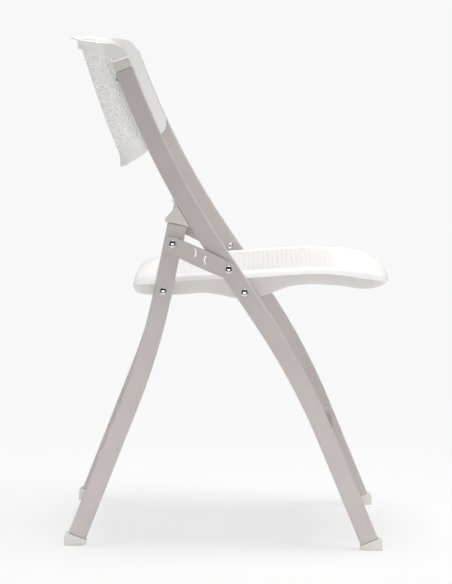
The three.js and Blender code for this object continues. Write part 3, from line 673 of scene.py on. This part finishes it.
def on_top(start, outline, out, share):
    point = start.lerp(outline - out * ROLL[0][0], share)
    return Vector((point.x, point.y, seat_height(point.x, point.y)))


def on_roll(start, outline, out, inward, share):
    point = outline - out * inward
    drop = read(SEAT_TOP, outline.x) - read(SEAT_LINE, outline.x)
    return Vector((point.x, point.y, seat_height(point.x, point.y) - drop * share))


def under_roll(start, outline, out):
    return on_roll(start, outline, out, 0, 1) - out * STEP - Vector((0, 0, 0.2))


def on_skirt(start, outline, out, back, rise):
    point = outline - out * back
    return Vector((point.x, point.y, read(SEAT_SKIRT, outline.x) + rise))


for share in (0.28, 0.5, 0.68, 0.82, 0.92, 1):
    ring = next_ring(ring, on_top, share)
for inward, share in ROLL[1:]:
    ring = next_ring(ring, on_roll, inward, share)
ring = next_ring(ring, under_roll)
for back, rise in ((STEP + 2.6, 1.6), (STEP + 3, 0.5), (STEP + 3.8, 0)):
    ring = next_ring(ring, on_skirt, back, rise)
for corner in seat.verts:
    x, y, _ = corner.co
    swell = max(0, 1 - x / REAR_BOW_LONG) * (1 - (y / SEAT_HALF) ** 2)
    corner.co.x += seat_low.x - nose_back(x, y) - REAR_BOW * swell
seat.verts.layers.float_vector.remove(spot)


def wall(piece, thick):
    """Gives a sheet its thickness, inward from the face that it was shaped by."""
    solid = piece.modifiers.new("wall", "SOLIDIFY")
    solid.thickness = thick / 1000
    solid.offset = -1


seat_shell = keep(
    seat, "seat_shell", white_plastic, "seat", ["seat_pan"], facing=(0, 0, 1)
)
wall(seat_shell, SEAT_WALL)

# Ribs moulded into the underside of the seat, three along it and three across, each as thick as
# moulding allows without marking the top.
RIB_THICK = 2.4
RIB_DEEP = 12
RIB_SUNK = 0.4  # into the wall that it stands on
RIBS_ALONG, RUN_ALONG = (-86, 86, 0), (62, 372)
RIBS_ACROSS, RUN_ACROSS = (62, 182, 302), (-184, 184)
ribs = bmesh.new()
runs = [(True, fixed, *RUN_ALONG) for fixed in RIBS_ALONG]
runs += [(False, fixed, *RUN_ACROSS) for fixed in RIBS_ACROSS]
for along_seat, fixed, low, high in runs:
    made = bmesh.ops.create_grid(ribs, x_segments=40, y_segments=1, size=0.5)["verts"]
    for corner in made:
        run = low + (high - low) * (corner.co.x + 0.5)
        x, y = (run, fixed) if along_seat else (fixed, run)
        below = SEAT_WALL + (-RIB_SUNK if corner.co.y > 0 else RIB_DEEP)
        corner.co = (x + seat_low.x - nose_back(x, y), y, seat_height(x, y) - below)
seat_ribs = keep(ribs, "seat_ribs", white_plastic, "seat", ["seat_pan"])
wall(seat_ribs, RIB_THICK)
seat_ribs.modifiers["wall"].offset = 0

# ---------------- pivots
# Each pivot is a steel rivet with a polished, chrome-plated domed head outside and a hollow end
# inside that is set over. Nylon washers keep the seat off the tubes, and nylon spacers keep the
# links off them.

# Chrome plate over nickel on steel: a mirror, which takes its light and dark from the studio.
# Hairline polishing marks, drawn 0.6 mm apart, soften it.
chrome_plate, tree, place, surface = new_material("chrome_plated_steel")
marks = add(tree, "ShaderNodeTexNoise", {"Scale": 1000 / 0.6, "Detail": 2}, {"Vector": place})
sheen = add(
    tree, "ShaderNodeMapRange", {**NOISE_RANGE, "To Min": 0.1, "To Max": 0.18},
    {"Value": marks.outputs["Fac"]},
)
set_up(surface, {"Base Color": linear("E2E3E4"), "Metallic": 1}, {"Roughness": sheen.outputs[0]})

# Natural nylon 6: turned from rod, a waxy off-white with faint rings 0.8 mm apart from the tool.
nylon, tree, place, surface = new_material("natural_nylon")
_, tone = mottled(tree, place, 0.8, 1, ("E9E7E0", "DFDCD3"))
set_up(surface, {"Roughness": 0.45, "IOR": 1.53}, {"Base Color": tone})

# radii of the rivets' parts and washers, and how high the heads are
SHANK = 3.2
HEAD = 6
HEAD_HIGH = 2.3
HEAD_RIM = 0.5
SET_HEAD = 5
SET_HIGH = 2
SET_HOLE = 2.4
WASHER = 10
WASHER_THICK = 2.4
SPACER_THICK = 2.8
LINK_THICK = 2.5
RAIL_THICK = 3
SEAT_SIDE = 3.4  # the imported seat's skirt
rail_inner = SEAT_HALF - SEAT_SIDE - FIT - RAIL_THICK
spacer_inner = TUBE_OUTER + FIT
link_inner = spacer_inner + SPACER_THICK + FIT
link_face = link_inner + LINK_THICK + FIT
low, high = (corner * 1000 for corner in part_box("link_rear_rivet_left"))
link_rear = (low + high) / 2
link_front = pivots["link_left_fold"]


def rivet(centre, inner, seat_of_head, set_head):
    """A rivet from its inner end to the domed head, with a narrow flat rim under the dome."""
    profile = [(0, seat_of_head + HEAD_HIGH)]
    for step in range(1, 9):
        turn = pi / 2 * step / 8
        rise = HEAD_RIM + (HEAD_HIGH - HEAD_RIM) * cos(turn)
        profile.append((HEAD * sin(turn), seat_of_head + rise))
    profile += [(HEAD, seat_of_head + 0.15), (HEAD - 0.15, seat_of_head), (SHANK, seat_of_head)]
    profile += [(SHANK, inner)]
    if set_head:
        profile += [
            (SET_HEAD, inner), (SET_HEAD, inner - 0.8), (SET_HEAD - 1, inner - SET_HIGH),
            (SET_HOLE + 0.8, inner - SET_HIGH), (SET_HOLE, inner - SET_HIGH + 0.7),
            (SET_HOLE, inner + 1.5), (0, inner + 1.8),
        ]
    else:
        profile += [(0, inner)]
    return turned(profile, centre, 48)


def flat_ring(centre, radius, hole, inner, thick):
    """A washer with softened edges."""
    soft = 0.35
    return turned(
        [
            (hole, inner), (radius - soft, inner), (radius, inner + soft),
            (radius, inner + thick - soft), (radius - soft, inner + thick), (hole, inner + thick),
            (hole, inner),
        ],
        centre, 48,
    )


washer_inner = SEAT_HALF + FIT
for name, centre, body in (
    ("seat_front", seat_front, "front_frame"), ("seat_rear", seat_rear, "rear_frame"),
):
    shape = rivet(centre, rail_inner - FIT, TUBE_OUTER + FIT, True)
    keep_pair(shape, f"{name}_rivet_domed", chrome_plate, body, [f"{name}_rivet"])
    shape = flat_ring(centre, WASHER, SHANK + FIT, washer_inner, WASHER_THICK)
    keep_pair(shape, f"{name}_washer_round", nylon, body, [f"{name}_washer"])
for name, centre, inner, set_head, body in (
    ("link_front", link_front, TUBE_INNER - FIT, True, "front_frame"),
    ("link_rear", link_rear, spacer_inner, False, "link_{}"),
):
    shape = rivet(centre, inner, link_face, set_head)
    keep_pair(shape, f"{name}_rivet_domed", chrome_plate, body, [f"{name}_rivet"])
    shape = flat_ring(centre, WASHER, SHANK + FIT, spacer_inner, SPACER_THICK)
    keep_pair(shape, f"{name}_spacer_round", nylon, body, [f"{name}_spacer"])

# ---------------- links
# Blanked steel strips outside the tubes, one on each side, powder coated with the frame. Their
# long edges swell a little, and two thin crescents are punched through the middle.

LINK_WIDE = 26.6
LINK_DROP = 1.8  # how far the strip's middle lies below the line between its pivots
LINK_BULGE = 1.6
LINK_EDGE = 0.45  # radius that the coat leaves on the blanked edges
CRESCENT = 12  # radius of a crescent's middle line
CRESCENT_WIDE = 2
CRESCENT_HALF = 35  # degrees each way
# each one's share of the way from the rear pivot, its turn, and how far it lies above the line
CRESCENTS = [(0.404, 0, 3), (0.58, 180, -2.3)]


def arc(shape, centre, radius, start, turn, steps):
    """Draws a corner round a centre in the side view, and gives the corners of the arc in order."""
    corners = [shape.verts.new(centre + radius * Vector((cos(start), 0, sin(start))))]
    step_turn = Matrix.Rotation(-turn / steps, 3, "Y")
    for step in range(steps):
        made = bmesh.ops.extrude_vert_indiv(shape, verts=[corners[-1]])["verts"]
        bmesh.ops.rotate(shape, cent=centre, matrix=step_turn, verts=made)
        corners += made
    return corners


span = Vector((link_front.x - link_rear.x, 0, link_front.z - link_rear.z))
axis = atan2(span.z, span.x)
along_link = span.normalized()
above_link = Vector((-along_link.z, 0, along_link.x))
link = bmesh.new()
rows = []
for centre, start in ((link_front, axis - pi / 2), (link_rear, axis + pi / 2)):
    middle = Vector((centre.x, link_inner, centre.z)) - LINK_DROP * above_link
    rows.append(arc(link, middle, LINK_WIDE / 2, start, pi, 24))
sides = [link.edges.new((rows[0][-1], rows[1][0])), link.edges.new((rows[1][-1], rows[0][0]))]
for corner in bmesh.ops.subdivide_edges(link, edges=sides, cuts=11)["geom_inner"]:
    offset = corner.co - link_rear
    share = offset.dot(along_link) / span.length
    side = 1 if offset.dot(above_link) + LINK_DROP > 0 else -1
    corner.co += side * 4 * LINK_BULGE * share * (1 - share) * above_link
for share, turn, above in CRESCENTS:
    middle = link_rear + span * share + above_link * above
    turn = radians(turn)
    centre = Vector((middle.x - CRESCENT * cos(turn), link_inner, middle.z - CRESCENT * sin(turn)))
    half = radians(CRESCENT_HALF)
    outer = arc(link, centre, CRESCENT + CRESCENT_WIDE / 2, turn - half, 2 * half, 10)
    inner = arc(link, centre, CRESCENT - CRESCENT_WIDE / 2, turn + half, -2 * half, 10)
    link.edges.new((outer[-1], inner[0]))
    link.edges.new((inner[-1], outer[0]))
bmesh.ops.triangle_fill(link, edges=link.edges[:], use_beauty=True, use_dissolve=False)
thicken(link, LINK_THICK, 60, LINK_EDGE, 2)
keep_pair(link, "link_strip", powder_coat, "link_{}", ["link"])

# ---------------- back
# One injection-moulded panel, bowed to the rear between the uprights. Its ends turn forward into
# flanges that lie inside the tubes, its top edge steps back to a lip, and its middle is slotted.

BACK_WALL = 4
FILLET = 20
FLANGE_TURN = 13  # behind the tube's middle
FLANGE_FRONT = -14
BACK_TOP = (816, 820.5)  # height at the ends and in the middle
BACK_BOTTOM = (653, 643)
BACK_BOW = [(664, 57), (822, 49.4)]  # behind the tubes, against height
# further back near the top edge, against the distance down from it
BACK_LIP = [
    (0, 10), (1.6, 9.8), (4.6, 5.6), (6.6, 1.8), (8, 1.1), (19, 5.4), (20, 5.2), (21, 3),
    (21.8, 0.5), (22.6, 0),
]
BACK_FLARE = [(0, 8), (6, 5), (14, 1.6), (22, 0)]  # and near the bottom edge
CORNER_TOP = 22
CORNER_BOTTOM = 24
FLANGE_SHARE = 0.14  # share of the way in from the flange's front edge where the flange ends
FILLET_SHARE = 0.34  # and where the fillet does
# where the plain rows beyond the slots lie, from the bottom edge and from the top edge
FROM_BOTTOM = [0, 4, 9, 15, 22, 26]
FROM_TOP = [24, 22.6, 21.8, 21, 20, 19, 13, 8, 6.6, 4.6, 1.6, 0]
BACK_BAR = 2.4  # plastic between two slots
BACK_CELLS = (60, 14)  # slots across the back and up it
TURN_COLUMNS = 6  # columns of the sheet in each fillet and each flange
back_half = BACK_CELLS[0] // 2 + 2 * TURN_COLUMNS
first_row = len(FROM_BOTTOM) - 1
last_row = first_row + 4 * BACK_CELLS[1]
back_rows = last_row + len(FROM_TOP) - 1


def straight_read(table, place):
    """A value read off a table along straight lines."""
    for (start, first), (end, last) in zip(table, table[1:]):
        if place <= end:
            return first + (last - first) * min(1, max(0, (place - start) / (end - start)))
    return table[-1][1]


def round_place(column):
    """How far round its half a column is: 1 where the bow ends, 2 where the fillet does, and 3 at
    the flange's front edge."""
    from_middle = abs(column - back_half)
    slotted = BACK_CELLS[0] / 2
    if from_middle <= slotted:
        return from_middle / slotted
    return 1 + (from_middle - slotted) / TURN_COLUMNS


def back_section(bow, way):
    """How far across the chair, and behind the tube's middle, a place round the section lies."""
    flange = TUBE_INNER - FIT
    centre = flange - FILLET
    deepest = TUBE_DEEP / 2 + bow
    past = FLANGE_TURN - deepest
    radius = (centre**2 + past**2 - FILLET**2) / (-2 * (FILLET + past))
    middle = deepest - radius
    meet = atan2(centre, FLANGE_TURN - middle)
    if way <= 1:
        return radius * sin(meet * way), middle + radius * cos(meet * way)
    if way <= 2:
        turn = (pi / 2 - meet) * (2 - way)
        return centre + FILLET * cos(turn), FLANGE_TURN + FILLET * sin(turn)
    return flange, FLANGE_TURN + (FLANGE_FRONT - FLANGE_TURN) * (way - 2)


def corner_loss(behind, radius):
    """What a rounded front corner of the flange takes off its height."""
    inside = min(radius, behind - FLANGE_FRONT)
    return radius - sqrt(radius**2 - (radius - inside) ** 2)


lean_at_top = on_line(upright, upright_top)[1]


def back_edges(column):
    """How far up the upright the lower and upper ends of a column lie."""
    way = round_place(column)
    if way <= 1:
        share = 1 - way * (1 - FILLET_SHARE)
    elif way <= 2:
        share = FILLET_SHARE - (FILLET_SHARE - FLANGE_SHARE) * (way - 1)
    else:
        share = FLANGE_SHARE * (3 - way)
    middle = sin(pi / 2 * max(0, share - FLANGE_SHARE) / (1 - FLANGE_SHARE))
    bow = straight_read(BACK_BOW, UPRIGHT_TOP) + BACK_LIP[0][1]
    behind = back_section(bow, way)[1]
    bottom, top = (ends + (centre - ends) * middle for ends, centre in (BACK_BOTTOM, BACK_TOP))
    low = reach(upright, bottom) + corner_loss(behind, CORNER_BOTTOM)
    high = reach(upright, top + behind * sin(lean_at_top)) - corner_loss(behind, CORNER_TOP)
    return low, high


back_ends = [back_edges(column) for column in range(2 * back_half + 1)]


def back_place(column, row):
    low, high = back_ends[column]
    if row <= first_row:
        place = low + FROM_BOTTOM[row]
    elif row >= last_row:
        place = high - FROM_TOP[row - last_row]
    else:
        start, end = low + FROM_BOTTOM[-1], high - FROM_TOP[0]
        place = start + (end - start) * (row - first_row) / (last_row - first_row)
    bow = straight_read(BACK_BOW, on_line(upright, place)[0].z)
    bow += straight_read(BACK_LIP, high - place) + straight_read(BACK_FLARE, place - low)
    across, behind = back_section(bow, round_place(column))
    point = beside(upright, place, behind)
    point.y = across if column > back_half else -across
    return point


back, spot, cells = staggered_cells(
    2 * back_half, back_rows, (TURN_COLUMNS, 2 * back_half - TURN_COLUMNS, first_row, last_row)
)
for corner in back.verts:
    corner.co = back_place(round(corner.co.x), round(corner.co.y))
open_slots(back, spot, cells, BACK_BAR, (1, 0.9, 0.42))
back.verts.layers.float_vector.remove(spot)
back_panel = keep(
    back, "back_panel", white_plastic, "front_frame", ["backrest_panel"],
    facing=(-1, 0, 0),
)
wall(back_panel, BACK_WALL)

# ---------------- upper caps
# Moulded caps that close the uprights: a head that follows the tube with its top edge rounded, and
# a plug in the bore. A screw through the tube's rear face holds each one.

# ABS, moulded and tinted to match the frame: a smooth satin skin, with faint flow marks about
# 15 mm long and a grain of 0.5 mm that is drawn at 1.5 mm.
cap_plastic, tree, place, surface = new_material("tinted_abs")
_, tone = mottled(tree, place, 15, 2, ("E0DBD6", "D8D3CE"))
_, relief = grained(tree, place, 1.5, 2, 0.12, 0.2)
set_up(surface, {"Roughness": 0.45, "IOR": 1.54}, {"Base Color": tone, "Normal": relief})

CAP_HIGH = 17.5
CAP_ROUND = 2.6
PLUG = 18
cap_base = upright_top + SEAM
cap = pull_tube(upright, cap_base, cap_base + CAP_HIGH)
bottom, top = end_faces(cap)
bmesh.ops.inset_individual(cap, faces=[bottom], thickness=TUBE_WALL + FIT, use_even_offset=True)
bmesh.ops.inset_individual(cap, faces=[bottom], thickness=0, depth=PLUG)
round_edges(cap, top.edges[:], CAP_ROUND, 4)
keep_pair(cap, "upper_cap_rounded", cap_plastic, "front_frame", ["upper_cap"])

# ---------------- screws
# Zinc-plated pan-head screws: one holds each upper cap from behind, and two hold each end of the
# back to its upright from inside. A cross recess is punched in each head.

CAP_SCREW_DROP = 11
BACK_SCREW_HEIGHTS = (("lower", 690), ("upper", 742))
BACK_SCREW_BEHIND = 7.5
RECESS_DEEP = 1.1


def screw(head, head_high, shank, length, turn, place):
    """A pan-head screw with a cross recess. It is turned on the line across the chair with its head
    to the left, given its recess, and then turned and moved to the place of its head's seat."""
    arm, arm_half = head * 0.55, head * 0.13
    shape = turned(
        [
            (0, head_high - RECESS_DEEP), (arm, head_high - RECESS_DEEP), (arm, head_high - 0.12),
            (head * 0.75, head_high - 0.4), (head * 0.93, head_high * 0.55),
            (head, head_high * 0.3), (head, 0.1), (head - 0.1, 0), (shank, 0),
            (shank, 0.8 - length), (0.8, -length), (0, -length),
        ],
        Vector(), 48,
    )
    for corner in shape.verts:
        if abs(hypot(corner.co.x, corner.co.z) - arm) < 0.001:
            wide = max(abs(corner.co.x), abs(corner.co.z)) / arm
            slim = max(min(abs(corner.co.x), abs(corner.co.z)) / arm, 0.001)
            share = min(1 / wide, arm_half / arm / slim)
            corner.co.x *= share
            corner.co.z *= share
    bmesh.ops.rotate(shape, cent=(0, 0, 0), matrix=turn, verts=shape.verts)
    bmesh.ops.translate(shape, vec=place, verts=shape.verts)
    return shape


cap_screw_place = upright_top - CAP_SCREW_DROP
lean = on_line(upright, cap_screw_place)[1]
at = beside(upright, cap_screw_place, TUBE_DEEP / 2 + FIT)
at.y = TUBE_ACROSS
turn = Matrix.Rotation(-lean, 3, "Y") @ Matrix.Rotation(pi / 2, 3, "Z")
shape = screw(3.3, 2.2, 2, 14, turn, at)
keep_pair(shape, "cap_screw_pan", zinc_plate, "front_frame", ["cap_screw"])
for name, height in BACK_SCREW_HEIGHTS:
    at = beside(upright, reach(upright, height), BACK_SCREW_BEHIND)
    at.y = TUBE_INNER - FIT - BACK_WALL - FIT
    shape = screw(4, 1.8, 2, 9, Matrix.Rotation(pi, 3, "Z"), at)
    keep_pair(
        shape, f"back_screw_{name}_pan", zinc_plate, "front_frame",
        [f"backrest_screw_{name}"],
    )

# ---------------- bumpers
# Moulded caps on the upper ends of the rear legs, plugged into the tubes. Each is round to the
# rear, flat on the tube's end, and cut along the upright's rear face, which it rests near.

BUMPER_RISE = 31  # from its seat on the tube to its peak
REAR_LIP = 5  # past the tube's rear face
FRONT_LIP = 4.6  # past its front face
BUMPER_EDGE = 5  # height of the rear lip
SHOULDER = (0.8, 0.55)  # up and back shares of what the round side is drawn toward


def upright_face(height):
    """A point just behind the upright's rear face."""
    lean = on_line(upright, reach(upright, height))[1]
    place = reach(upright, height + TUBE_DEEP / 2 * sin(lean))
    return beside(upright, place, TUBE_DEEP / 2 + FIT)


base = rear_top + SEAM
half = TUBE_DEEP / 2
heel = beside(rear_leg, base, half + REAR_LIP - 1)
tip = beside(rear_leg, base + BUMPER_EDGE, half + REAR_LIP)
toe = beside(rear_leg, base, -half - FRONT_LIP)
corner = upright_face(toe.z + 2)
peak = upright_face(on_line(rear_leg, base)[0].z + BUMPER_RISE)
shoulder = beside(rear_leg, base + BUMPER_RISE * SHOULDER[0], half * SHOULDER[1])
side_view = [(point.x, point.z) for point in (heel, toe, corner, peak)]
side_view += curve(side_view[-1], (shoulder.x, shoulder.z), (tip.x, tip.z), 10)
bumper = block(side_view, TUBE_INNER, TUBE_WIDE, 1)
keep_pair(bumper, "rear_bumper_moulded", cap_plastic, "rear_frame", ["rear_bumper"])

# ---------------- studio
# A pale floor that runs out into the backdrop. One broad lamp overhead gives most of the light,
# wide ones in front and behind and a low strip lift the sides, and a card puts a spot in the domes.

floor_mesh = bpy.data.meshes.new("studio_floor")
shape = bmesh.new()
bmesh.ops.create_grid(shape, x_segments=1, y_segments=1, size=1)
bmesh.ops.scale(shape, vec=(30, 30, 1), verts=shape.verts)
bmesh.ops.translate(shape, vec=(0, 0, -0.0002), verts=shape.verts)
shape.to_mesh(floor_mesh)
shape.free()
ground = bpy.data.objects.new("studio_floor", floor_mesh)
bpy.context.collection.objects.link(ground)

# Matt paper. Near the chair it shows its own shade in part, so that the shadow is seen.
FLOOR_SHOWN = 0.66  # share of the floor by the chair that shows as the backdrop does
paper = bpy.data.materials.new("matt_backdrop_paper")
paper.use_nodes = True
tree = paper.node_tree
tree.nodes.clear()
seen = add(tree, "ShaderNodeLightPath", {}, {}).outputs
matt = add(tree, "ShaderNodeBsdfDiffuse", {"Color": linear("EDEDED")}, {})
spread = add(tree, "ShaderNodeTexCoord", {}, {})
away = add(tree, "ShaderNodeVectorMath", {"operation": "LENGTH"}, {0: spread.outputs["Object"]})
# the paper ends, and polished metal shows the dark floor past it
past = add(
    tree, "ShaderNodeMapRange", {"From Min": 1, "From Max": 1.8, "To Min": 1, "To Max": 0.04},
    {"Value": away.outputs["Value"]},
)
direct = add(
    tree, "ShaderNodeMath", {"operation": "MAXIMUM"},
    {0: seen["Is Camera Ray"], 1: seen["Is Transmission Ray"]},
)
bright = add(
    tree, "ShaderNodeMath", {"operation": "MAXIMUM"}, {0: past.outputs[0], 1: direct.outputs[0]}
)
lit = add(
    tree, "ShaderNodeEmission", {"Color": linear("F8F8F8")}, {"Strength": bright.outputs[0]}
)
shown = add(
    tree, "ShaderNodeMath", {"operation": "MAXIMUM"},
    {0: direct.outputs[0], 1: seen["Is Glossy Ray"]},
)
plain = add(
    tree, "ShaderNodeMapRange",
    {"interpolation_type": "SMOOTHSTEP", "From Min": 0.45, "From Max": 1.5, "To Min": FLOOR_SHOWN},
    {"Value": away.outputs["Value"]},
)
share = add(
    tree, "ShaderNodeMath", {"operation": "MULTIPLY"}, {0: shown.outputs[0], 1: plain.outputs[0]}
)
mixed = add(
    tree, "ShaderNodeMixShader", {}, {0: share.outputs[0], 1: matt.outputs[0], 2: lit.outputs[0]}
)
add(tree, "ShaderNodeOutputMaterial", {}, {"Surface": mixed.outputs[0]})
floor_mesh.materials.append(paper)

# The backdrop stands behind the chair. Above the horizon polished metal shows the dark room.
ROOM_FULL = 0.05  # sine of the height from which it is all room
world = bpy.data.worlds.new("studio")
bpy.context.scene.world = world
world.use_nodes = True
tree = world.node_tree
tree.nodes.clear()
seen = add(tree, "ShaderNodeLightPath", {}, {}).outputs
around = add(tree, "ShaderNodeTexCoord", {}, {})
high = add(tree, "ShaderNodeSeparateXYZ", {}, {0: around.outputs["Generated"]})
dark = add(
    tree, "ShaderNodeMapRange", {"From Min": 0, "From Max": ROOM_FULL}, {"Value": high.outputs["Z"]}
)
backdrop = add(tree, "ShaderNodeBackground", {"Color": linear("F8F8F8"), "Strength": 1}, {})
room = add(tree, "ShaderNodeBackground", {"Color": linear("3A3A3C"), "Strength": 1}, {})
fill = add(tree, "ShaderNodeBackground", {"Color": linear("FFFFFF"), "Strength": 0.38}, {})
mirrored = add(
    tree, "ShaderNodeMixShader", {},
    {0: dark.outputs["Result"], 1: backdrop.outputs[0], 2: room.outputs[0]},
)
polished = add(
    tree, "ShaderNodeMixShader", {},
    {0: seen["Is Glossy Ray"], 1: fill.outputs[0], 2: mirrored.outputs[0]},
)
direct = add(
    tree, "ShaderNodeMath", {"operation": "MAXIMUM"},
    {0: seen["Is Camera Ray"], 1: seen["Is Transmission Ray"]},
)
shown = add(
    tree, "ShaderNodeMixShader", {},
    {0: direct.outputs[0], 1: polished.outputs[0], 2: backdrop.outputs[0]},
)
add(tree, "ShaderNodeOutputWorld", {}, {"Surface": shown.outputs[0]})

# each lamp's size and power, where it stands, what it points at, and how wide it shines
for name, size, power, stand, toward, beam in (
    ("overhead", (2.5, 2.5), 172, (0.42, 0, 4.5), (0, 0, 0.4), 180),
    ("front", (2, 2), 9, (3, -0.6, 1.6), (0, 0, 0.5), 180),
    ("rear", (2, 2), 14, (-3, -0.8, 1.3), (0, 0, 0.6), 180),
    ("card", (0.15, 0.6), 0.2, (0.1, -5.6, 0.95), (0, 0, 0.4), 180),
    ("low", (2.4, 0.3), 1.1, (0, -3, 0.25), (0, 0, 0.05), 30),
):
    light = bpy.data.lights.new(name, "AREA")
    light.shape = "RECTANGLE"
    light.size, light.size_y = size
    light.energy = power
    light.spread = radians(beam)
    holder = bpy.data.objects.new(name, light)
    holder.location = stand
    holder.rotation_euler = (Vector(toward) - Vector(stand)).to_track_quat("-Z", "Y").to_euler()
    bpy.context.collection.objects.link(holder)

# The camera stands five metres off, a little above the back, and looks down through a long lens.
camera_data = bpy.data.cameras.new("camera")
camera_data.lens = 182.17
camera_data.clip_end = 100
camera = bpy.data.objects.new("camera", camera_data)
bpy.context.collection.objects.link(camera)
camera.matrix_world = (
    Matrix.Translation((0.02586, -4.9682, 0.91736))
    @ Matrix.Rotation(0.005484, 4, "Z")
    @ Matrix.Rotation(pi / 2 - 0.104509, 4, "X")
    @ Matrix.Rotation(0.015818, 4, "Z")
)
bpy.context.scene.camera = camera
bpy.context.scene.view_settings.view_transform = "Standard"
